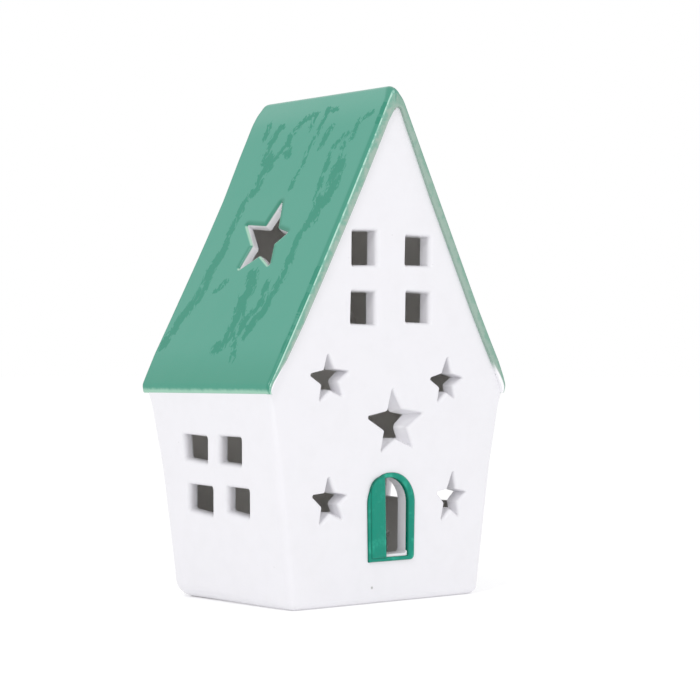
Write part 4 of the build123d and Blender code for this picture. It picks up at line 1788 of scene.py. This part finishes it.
@dataclass(frozen=True)
class RoofGlaze(Finish):
    """Green glaze brushed on in long pulls, pale at the cut edges and white where it ends.

    Its colours are named for where they lie: pool where the glaze gathers beside an edge, beside an arris
    also a painted dark reflection; thin where it draws back from one; line along an arris, a painted
    highlight; and ridge, a lighter, greyer green near the ridge, a painted reflection of the white room. A span
    runs from where an effect sets in to where it is full, in millimetres up the slope from the eave's tip, over
    the surface from the rim's flat, out from an opening or down into it. Of two spans, the first is a band's
    outer side.
    """

    green: Colour = srgb(76, 154, 134)
    stroke: Colour = srgb(34, 136, 112)
    # Painted reflection: lighter, greyer green near the ridge.
    ridge: Colour = srgb(96, 162, 144)
    eave: Colour = srgb(64, 146, 124)
    # Pooled glaze; beside an arris also a painted dark reflection.
    pool: Colour = srgb(52, 132, 110)
    thin: Colour = srgb(168, 210, 188)
    # Painted highlight along an arris.
    line: Colour = srgb(184, 220, 205)
    rim: Colour = srgb(154, 176, 164)
    rim_green: Colour = srgb(116, 166, 148)
    white: Colour = (0.9, 0.89, 0.92, 1.0)
    bisque: Colour = (0.72, 0.705, 0.682, 1.0)
    ridge_sheen_span: Pair = (84.0, 99.0)
    eave_span: Pair = (16.0, 0.0)
    tip_span: Pair = (0.3, -1.0)
    stroke_span: Pair = (0.6, 0.7)
    pool_and_shade_spans: tuple[Pair, Pair] = ((2.6, 1.6), (0.75, 1.05))
    highlight_line_spans: tuple[Pair, Pair] = ((0.9, 0.7), (0.35, 0.5))
    rim_edge: Pair = (0.5, 0.25)
    bare_span: Pair = (0.05, -0.85)
    pool_at_opening: Pair = (2.0, 0.6)
    thin_at_opening: Pair = (0.9, 0.4)
    reveal: Pair = (0.35, 0.8)

    def ragged(self, canvas: Canvas, across: Socket, up: Socket) -> Socket:
        """Noise drawn out down the slope, its place pushed about by a coarser noise.

        Args:
            canvas: The material's node tree.
            across: The place across the slope.
            up: The place up it.

        Returns:
            The noise, about 0.5 on its middle lines.
        """
        coarse_draw, draw, reach = 0.5, 0.34, (6.0, 3.0, 0.0)
        coarse_place = canvas.add("ShaderNodeCombineXYZ", {"X": across, "Y": canvas.times(up, coarse_draw)})
        inputs = {"Vector": coarse_place.outputs[0], "Scale": 0.45, "Detail": 2.0}
        coarse = canvas.add("ShaderNodeTexNoise", inputs)
        pushed = canvas.vector("MULTIPLY", coarse.outputs["Color"], reach).outputs[0]
        drawn = canvas.add("ShaderNodeCombineXYZ", {"X": across, "Y": canvas.times(up, draw)}).outputs[0]
        place = canvas.vector("ADD", drawn, pushed).outputs[0]
        return canvas.noise(place, scale=0.5, detail=2.0, roughness=0.55)

    def band(self, canvas: Canvas, value: Socket, spans: tuple[Pair, Pair]) -> Socket:
        """A mask of the values between an outer and an inner side."""
        return canvas.times(canvas.ramp(value, spans[0]), canvas.ramp(value, spans[1]))

    def paint(self, canvas: Canvas) -> None:
        """Paint the strokes, the pale edges and the white reveal.

        Args:
            canvas: The material's node tree.
        """
        bias, vein_weight, pool_and_shade_weight, edge_weight, up_weight = 0.42, 4.0, 0.6, 0.12, 0.2
        ramp, mix, fact, plus, times = canvas.ramp, canvas.mix, canvas.fact, canvas.plus, canvas.times
        hand = canvas.hand_glaze(waves=90.0, mottling=420.0)
        across, up, edge = fact("across"), fact("up"), fact("edge")
        grain = self.ragged(canvas, across, up)
        veins = canvas.math("ABSOLUTE", canvas.math("SUBTRACT", grain, 0.5))
        wobble = canvas.math("SUBTRACT", bias, times(veins, vein_weight))
        # Painted reflection: the green turns lighter and greyer towards the ridge.
        body = mix(ramp(up, self.ridge_sheen_span), self.green, self.ridge)
        body = mix(ramp(up, self.eave_span), body, self.eave)
        body = mix(ramp(plus(fact("brush"), wobble), self.stroke_span), body, self.stroke)
        body = mix(ramp(plus(up, hand["Mottle"]), self.tip_span, to=(0.0, 0.7)), body, self.thin)
        # Darker glaze pooled beside the arris, partly a painted dark reflection.
        body = mix(times(self.band(canvas, edge, self.pool_and_shade_spans), pool_and_shade_weight), body, self.pool)
        patch = ramp(plus(times(edge, edge_weight), hand["Mottle"]), (0.25, 0.6))
        body = mix(ramp(edge, self.rim_edge), body, mix(patch, self.rim, self.rim_green))
        # Painted highlight: a bright, broken line along the arris.
        broken = ramp(grain, (0.35, 0.5), to=(0.25, 0.9))
        body = mix(times(self.band(canvas, edge, self.highlight_line_spans), broken), body, self.line)
        body = mix(ramp(plus(edge, times(up, up_weight)), self.bare_span), body, self.white)
        lip, facing = fact("lip"), fact("lip_y")
        over, under = ramp(facing, (-0.1, 0.4)), ramp(facing, (-0.1, -0.5))
        body = mix(times(ramp(lip, self.pool_at_opening), over), body, self.pool)
        body = mix(times(ramp(lip, self.thin_at_opening), under), body, self.thin)
        body = mix(ramp(fact("depth"), self.reveal), body, self.white)
        canvas.dress("Base Color", mix(ramp(fact("inside"), INSIDE), body, self.bisque))
        canvas.bump(hand["Height"], distance=0.0006, strength=0.3)


@dataclass(frozen=True)
class DoorGlaze(Finish):
    """Strong green laid on thick, darker at the edges: pooled glaze, and painted shade where it meets the wall.

    Attributes:
        green, light, dark: Its colours: plain, where the mottling is strongest, and at the edges, pooled glaze
            with painted shade.
        crown_shade_span: Shares of the piece's height between which it darkens, as pooled glaze and painted
            shade.
    """

    green: Colour = srgb(12, 136, 115)
    light: Colour = srgb(48, 168, 142)
    dark: Colour = srgb(6, 104, 86)
    crown_shade_span: Pair = (0.85, 0.35)

    def paint(self, canvas: Canvas) -> None:
        """Vary the green by its thickness, paint shade where it meets the wall, and give it soft waves.

        Args:
            canvas: The material's node tree.
        """
        hand = canvas.hand_glaze(waves=260.0, mottling=200.0)
        body = canvas.mix(canvas.ramp(hand["Mottle"], (0.48, 0.72)), self.green, self.light)
        # Darker towards the wall: pooled glaze, and painted shade in the creases at the relief's foot.
        body = canvas.mix(canvas.ramp(canvas.fact("crown"), self.crown_shade_span), body, self.dark)
        canvas.dress("Base Color", body)
        canvas.bump(hand["Height"], distance=0.0008, strength=0.4)


@dataclass(frozen=True)
class Foil(Finish):
    """Bright pressed foil with faint scuffs that are duller and rougher."""

    bright: Colour = (0.84, 0.85, 0.86, 1.0)
    dull: Colour = (0.7, 0.71, 0.72, 1.0)
    scuffed_roughness: float = 0.18

    def paint(self, canvas: Canvas) -> None:
        """Scuff the foil.

        Args:
            canvas: The material's node tree.
        """
        scuff = canvas.noise(canvas.place(), scale=900.0, detail=4.0, roughness=0.7)
        rough = (self.roughness, self.roughness + self.scuffed_roughness)
        canvas.dress("Base Color", canvas.mix(scuff, self.bright, self.dull))
        canvas.dress("Roughness", canvas.ramp(scuff, (0.3, 0.8), to=rough))
        canvas.bump(scuff, distance=0.0001, strength=0.4)


@dataclass(frozen=True)
class Wax(Finish):
    """White wax, cloudy and a little translucent: light travels as far as its reach, in metres."""

    clear: Colour = (0.9, 0.89, 0.86, 1.0)
    cloudy: Colour = (0.8, 0.78, 0.73, 1.0)
    translucence: float = 0.25
    reach: Place = (0.004, 0.0035, 0.003)

    def paint(self, canvas: Canvas) -> None:
        """Cloud the wax.

        Args:
            canvas: The material's node tree.
        """
        cloud = canvas.noise(canvas.place(), scale=260.0, detail=4.0, roughness=0.6)
        canvas.dress("Base Color", canvas.mix(cloud, self.clear, self.cloudy))
        canvas.dress("Subsurface Weight", self.translucence)
        canvas.dress("Subsurface Radius", self.reach)
        canvas.dress("Subsurface Scale", 1.0)
        canvas.bump(cloud, distance=0.0002, strength=0.5)


@dataclass(frozen=True)
class Cotton(Finish):
    """Waxed cotton, its strands running round the cord at a slant, kept dark as painted shade, darker in the
    grooves.
    """

    shaded_groove: Colour = (0.46, 0.44, 0.38, 1.0)
    strand: Colour = (0.64, 0.62, 0.56, 1.0)
    slant: Place = (0.6, 0.4, 0.0)

    def paint(self, canvas: Canvas) -> None:
        """Lay the strands, with painted shade in the grooves between them.

        Args:
            canvas: The material's node tree.
        """
        inputs = {"Vector": canvas.place(), "Rotation": self.slant}
        slanted = canvas.add("ShaderNodeMapping", inputs).outputs[0]
        strands = canvas.add("ShaderNodeTexWave", {"Vector": slanted, "Scale": 900.0, "Distortion": 2.0},
                             bands_direction="Z").outputs["Fac"]
        # Painted shade: the grooves between strands are darker, and the whole cord is kept dark for the shaded
        # doorway.
        canvas.dress("Base Color", canvas.mix(strands, self.shaded_groove, self.strand))
        canvas.bump(strands, distance=0.0002, strength=0.6)


@dataclass(frozen=True)
class Tinplate(Finish):
    """Plain rolled tinplate, its lines drawn out along X."""

    dark: Colour = (0.62, 0.62, 0.63, 1.0)
    light: Colour = (0.74, 0.74, 0.75, 1.0)
    line_scale: Place = (60.0, 2500.0, 2500.0)
    lined_roughness: float = 0.15

    def paint(self, canvas: Canvas) -> None:
        """Lay the rolling lines.

        Args:
            canvas: The material's node tree.
        """
        inputs = {"Vector": canvas.place(), "Scale": self.line_scale}
        drawn = canvas.add("ShaderNodeMapping", inputs).outputs[0]
        lines = canvas.noise(drawn, scale=1.0, detail=3.0, roughness=0.6)
        rough = (self.roughness, self.roughness + self.lined_roughness)
        canvas.dress("Base Color", canvas.mix(lines, self.dark, self.light))
        canvas.dress("Roughness", canvas.ramp(lines, (0.3, 0.7), to=rough))


# Stage


@dataclass(frozen=True)
class Camera:
    """The photograph's camera, found from the roof's edges and the walls' corners.

    Attributes:
        azimuth, elevation, roll: Degrees from -Y, over the level and round the line of sight.
        distance, shift: Distances behind, right of and over the target.
        target_height: Height of the target.
        focal_pixels, picture_width: Focal length and width of the picture, in picture points.
        sensor: Width that the lens is given for.
        clip_start: Distance in metres from which the camera sees.
    """

    azimuth: float = -41.7318
    elevation: float = -0.6765
    roll: float = 0.0866
    distance: float = 611.39
    shift: Pair = (6.7966, 5.93)
    target_height: float = 67.5
    focal_pixels: float = 2034.28
    picture_width: float = 700.0
    sensor: float = 36.0
    clip_start: float = 0.01

    def build(self) -> None:
        """Place the camera and make it the scene's own."""
        azimuth, elevation, roll = (math.radians(a) for a in (self.azimuth, self.elevation, self.roll))
        level = Vector((math.sin(azimuth), -math.cos(azimuth), 0)) * math.cos(elevation)
        back = level + Vector((0, 0, math.sin(elevation)))
        right = (-back).cross(Vector((0, 0, 1))).normalized()
        up = right.cross(-back)
        cosine, sine = math.cos(roll), math.sin(roll)
        right, up = right * cosine + up * sine, up * cosine - right * sine
        target = Vector((0, 0, self.target_height))
        eye = (target + back * self.distance + right * self.shift[0] + up * self.shift[1]) * MM
        data = bpy.data.cameras.new("photo_camera")
        data.sensor_width = self.sensor
        data.lens = self.focal_pixels * self.sensor / self.picture_width
        data.clip_start = self.clip_start
        camera = new_object("photo_camera", data)
        turn = Matrix((right, up, back)).transposed().to_4x4()
        camera.matrix_world = Matrix.Translation(eye) @ turn
        bpy.context.scene.camera = camera


@dataclass(frozen=True)
class Studio:
    """A plain pale floor, an even white room and soft lamps.

    Attributes:
        floor_size: Width of the floor in metres.
        room_light, floor_glow: Strength of the room's light on the object and of the floor's own light.
        aim_height: Height in metres that the lamps face.
    """

    floor_size: float = 60.0
    room_light: float = 0.9
    floor_glow: float = 0.2
    aim_height: float = 0.07

    def build(self) -> None:
        """Make the floor, the room's light and the lamps."""
        bpy.context.scene.view_settings.view_transform = "Standard"
        mesh = bpy.data.meshes.new("studio_floor")
        half = self.floor_size / 2
        corners = [(-half, -half, 0), (half, -half, 0), (half, half, 0), (-half, half, 0)]
        mesh.from_pydata(corners, [], [(0, 1, 2, 3)])
        floor = new_object("studio_floor", mesh)
        material = bpy.data.materials.new("studio_paper")
        material.use_nodes = True
        material.node_tree.nodes.clear()
        graph = Graph(material.node_tree)
        paper = graph.add("ShaderNodeBsdfPrincipled", {
            "Base Color": (0.9, 0.9, 0.9, 1.0), "Roughness": 0.95, "Emission Color": (1.0, 1.0, 1.0, 1.0),
            "Emission Strength": self.floor_glow, "Specular IOR Level": 0.0})
        graph.add("ShaderNodeOutputMaterial", {"Surface": paper.outputs[0]})
        mesh.materials.append(material)
        world = bpy.data.worlds.new("white_room")
        bpy.context.scene.world = world
        world.use_nodes = True
        world.node_tree.nodes.clear()
        graph = Graph(world.node_tree)
        ray = graph.add("ShaderNodeLightPath")
        mirrored = graph.math("MAXIMUM", ray.outputs["Is Glossy Ray"], ray.outputs["Is Transmission Ray"])
        direct = graph.math("MAXIMUM", ray.outputs["Is Camera Ray"], mirrored)
        strength = graph.ramp(direct, (0.0, 1.0), to=(self.room_light, 1.0))
        light = graph.add("ShaderNodeBackground", {"Color": (1.0, 1.0, 1.0, 1.0), "Strength": strength})
        graph.add("ShaderNodeOutputWorld", {"Surface": light.outputs[0]})
        self.lamp("key_lamp", place=(-0.75, -0.35, 0.65), size=0.22, watts=1.6)
        self.lamp("fill_lamp", place=(0.2, -0.9, 0.4), size=0.16, watts=0.7)

    def lamp(self, name: str, place: Place, size: float, watts: float) -> None:
        """Make a square lamp that faces the house.

        Args:
            name: Its name.
            place: Where it stands, in metres.
            size: Width of its face, in metres.
            watts: Its power.
        """
        data = bpy.data.lights.new(name, "AREA")
        data.size = size
        data.energy = watts
        lamp = new_object(name, data)
        lamp.location = place
        sight = Vector((0, 0, self.aim_height)) - Vector(place)
        lamp.rotation_euler = sight.to_track_quat("-Z", "Y").to_euler()


# House


def pane(corners: Sequence[Pair], rounds: float = 0.5) -> Cutout:
    """A hand-cut window pane from its four corners, counter-clockwise."""
    return Cutout(np.array(corners, float), np.full(len(corners), rounds), arc_steps=5, edge_steps=4)


def turned_to_y(cutout: Cutout) -> Cutout:
    """The left wall's outline as seen from outside, turned into y and height."""
    corners = cutout.corners * np.array([-1.0, 1.0])
    return replace(cutout, corners=corners[::-1], rounds=cutout.rounds[::-1])


GABLE_PANES = [
    pane(((-15.55, 97.3), (-6.0, 97.7), (-6.0, 107.6), (-15.55, 107.1))),
    pane(((5.25, 98.1), (15.1, 98.2), (15.2, 106.7), (5.45, 106.6))),
    pane(((-15.85, 80.7), (-6.2, 80.5), (-6.3, 89.9), (-15.65, 89.8))),
    pane(((5.65, 81.5), (15.3, 81.3), (15.4, 90.2), (5.75, 90.3))),
]
FRONT_STARS = [
    star_outline((-23.57, 64.81), (7.38, 7.58, 7.29, 6.93, 7.52), (6.4, 7.3, 4.1, 9.8, -0.4)),
    star_outline((22.56, 63.80), (7.83, 7.02, 6.93, 5.88, 6.99), (-1.9, 7.5, 3.4, 1.0, -6.2)),
    star_outline((1.79, 51.88), (10.39, 11.31, 9.99, 10.04, 11.49), (7.8, 7.8, 0.9, 9.6, -3.4)),
    star_outline((-23.16, 30.05), (7.40, 7.07, 7.29, 7.04, 6.61), (5.2, 0.8, 3.8, 8.4, -2.8)),
    star_outline((24.86, 29.32), (8.32, 6.27, 7.65, 6.46, 6.41), (-4.4, -0.4, 2.7, -5.2, -2.9)),
]
DOORWAY = Cutout(np.array([(-2.3, 14.0), (6.9, 14.1), (6.9, 36.0), (-2.3, 36.4)]),
                 np.array([0.3, 1.2, 7.4, 0.4]), arc_steps=9, edge_steps=6)
REAR_OPENING = Cutout(np.array([(-22.0, 4.0), (22.0, 4.0), (22.0, 23.3), (-22.0, 23.3)]),
                      np.array([0.3, 0.3, 8.0, 8.0]), arc_steps=10, edge_steps=8)
LEFT_PANES = [
    pane(((-14.4, 41.4), (-4.55, 40.5), (-3.25, 47.9), (-14.1, 48.4))),
    pane(((1.5, 40.7), (11.05, 40.2), (12.35, 48.0), (2.8, 48.2))),
    pane(((-15.2, 26.4), (-4.65, 25.2), (-3.25, 33.4), (-13.9, 33.8))),
    pane(((2.8, 26.7), (12.15, 25.5), (13.45, 33.4), (4.0, 33.7))),
]
RIGHT_PANES = [
    pane(((-15.8, 38.0), (-5.3, 38.2), (-5.4, 45.6), (-15.6, 45.3))),
    pane(((5.3, 38.2), (15.6, 37.9), (15.7, 45.1), (5.4, 45.5))),
    pane(((-15.8, 27.2), (-5.4, 27.1), (-5.3, 34.6), (-15.7, 34.4))),
    pane(((5.3, 27.0), (14.9, 27.3), (14.7, 34.7), (5.4, 34.5))),
]
# The roof star's tips from the top, counter-clockwise as seen from outside.
ROOF_STAR = star_outline((0.0, 48.74), (13.41, 13.91, 12.0, 10.85, 8.6), (2.1, -7.7, -0.9, -1.1, -2.8))
SURROUND_OUTER = Cutout(np.array([(-8.6, 12.0), (9.5, 12.0), (9.8, 37.7), (-9.3, 37.7)]),
                        np.array([0.3, 1.5, 9.0, 8.8]), arc_steps=16, edge_steps=8)
SURROUND_INNER = Cutout(np.array([(-7.4, 13.3), (6.8, 13.3), (6.8, 36.1), (-7.9, 36.3)]),
                        np.array([0.2, 0.3, 7.4, 7.2]), arc_steps=16, edge_steps=8)
LEAF = Cutout(np.array([(-7.8, 13.0), (-1.8, 13.0), (-2.6, 36.8), (-8.4, 36.4)]),
              np.array([0.4, 0.3, 0.3, 5.0]), arc_steps=9, edge_steps=6)


def main() -> None:
    """Build the house, its tealight and the stage."""
    logging.basicConfig(level=logging.INFO, format="%(name)s: %(message)s")
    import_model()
    glaze = glaze_group()
    white = WhiteGlaze("white_glaze", roughness=0.3, coat=0.25).build(glaze)
    green = RoofGlaze("green_glaze", roughness=0.22, coat=0.15, gloss=0.35).build(glaze)
    # Painted shade: a darker copy of the roof glaze for the right slope, which faces away from the key lamp,
    # with a dull line on its arris.
    shaded_green = RoofGlaze("shaded_green_glaze", roughness=0.3, gloss=0.3, green=srgb(70, 134, 114),
                           line=srgb(84, 128, 112), rim=srgb(150, 174, 162), rim_green=srgb(126, 164, 148))
    door = DoorGlaze("door_paint", roughness=0.15, gloss=0.22).build(glaze)
    foil = Foil("cup_metal", roughness=0.22, metallic=1.0).build(glaze)
    wax = Wax("candle_wax", roughness=0.45).build(glaze)
    cotton = Cotton("wick_cotton", roughness=0.8).build(glaze)
    tin = Tinplate("sustainer_metal", roughness=0.3, metallic=1.0).build(glaze)
    # The floor slab is bare clay in the darkened low colour, painted shade inside the house.
    floor = WhiteGlaze("shaded_bare_clay", roughness=0.65, white=WhiteGlaze.shaded_low_bisque,
                       shade=(0.62, 0.605, 0.58, 1.0)).build(glaze)

    sizes = HouseSizes()
    shape = BodyShape(sizes)
    soft = Mouth(spread=1.0, sink=1.6, lean=(0.6, 0.0))
    side = Mouth(spread=1.2, sink=1.8, taper=-0.1)
    star = Mouth(spread=0.7, sink=1.2, taper=0.95, lean=(0.9, -0.15), blunt=1.5)
    wide = Mouth(spread=0.7, sink=1.2, taper=0.3, lean=(0.5, -0.6), blunt=0.5)
    front = EndWall(shape, Side.LOW, [*GABLE_PANES, *FRONT_STARS, DOORWAY],
                    [soft] * len(GABLE_PANES) + [wide, wide, star, wide, wide, Mouth(spread=0.3, sink=0.5)])
    front.build("front_wall", white)
    EndWall(shape, Side.HIGH, [REAR_OPENING], [soft]).build("rear_wall", white)
    SideWall(shape, Side.LOW, [turned_to_y(cutout) for cutout in LEFT_PANES], side).build("left_wall", white)
    SideWall(shape, Side.HIGH, RIGHT_PANES, side).build("right_wall", white)
    left_rim = ((60.0, 61.5, 62.6, 65.0, 70.0, 80.0, 100.0, 120.0, 142.0, 152.0),
                (0.30, 1.30, 1.95, 2.30, 2.80, 3.35, 3.60, 3.90, 3.90, 4.90))
    left_swell = ((62.0, 66.0, 72.0, 88.0, 106.0, 119.0, 132.0, 143.0, 149.0),
                  (0.0,) * 9, (0.0, 0.30, 0.65, 0.43, 0.12, 0.0, 0.55, 0.70, 0.0))
    right_rim = ((60.0, 61.5, 62.6, 64.0, 67.0, 70.0, 118.0, 134.0, 142.0, 152.0),
                 (0.30, 1.20, 1.90, 2.20, 2.70, 3.10, 3.20, 2.70, 2.50, 2.10))
    right_swell = ((62.0, 65.5, 70.4, 76.4, 86.0, 145.0, 149.5),
                   (0.04, 0.66, 0.95, 0.60, 0.25, 0.25, 0.0), (0.0, 0.3, 0.5, 0.4, 0.2, 0.2, 0.0))
    roof_mouth = Mouth(spread=0.9, sink=1.0, inner_break=0.2)
    left = RoofSlab(sizes, Side.LOW, sag=0.62, swell=left_swell, rim=left_rim, facing_rim=2.1,
                    cutouts=[ROOF_STAR], mouth=roof_mouth, strokes=LEFT_STROKES)
    right = RoofSlab(sizes, Side.HIGH, sag=0.0, swell=right_swell, rim=right_rim, facing_rim=4.9,
                     cutouts=[], mouth=roof_mouth, strokes=RIGHT_STROKES, arris=(0.7, 0.9))
    left.build("left_roof", green)
    right.build("right_roof", shaded_green.build(glaze))
    DoorSurround(front, SURROUND_OUTER, SURROUND_INNER).build("door_surround", door)
    DoorLeaf(front, LEAF).build("door_leaf", door)
    Tealight().build(foil, wax, cotton)
    for name, finish in (("floor_slab", floor), ("wick_sustainer", tin)):
        piece = bpy.data.objects[name]
        piece.data.materials.clear()
        piece.data.materials.append(finish)
    Camera().build()
    Studio().build()


if __name__ == "__main__":
    main()
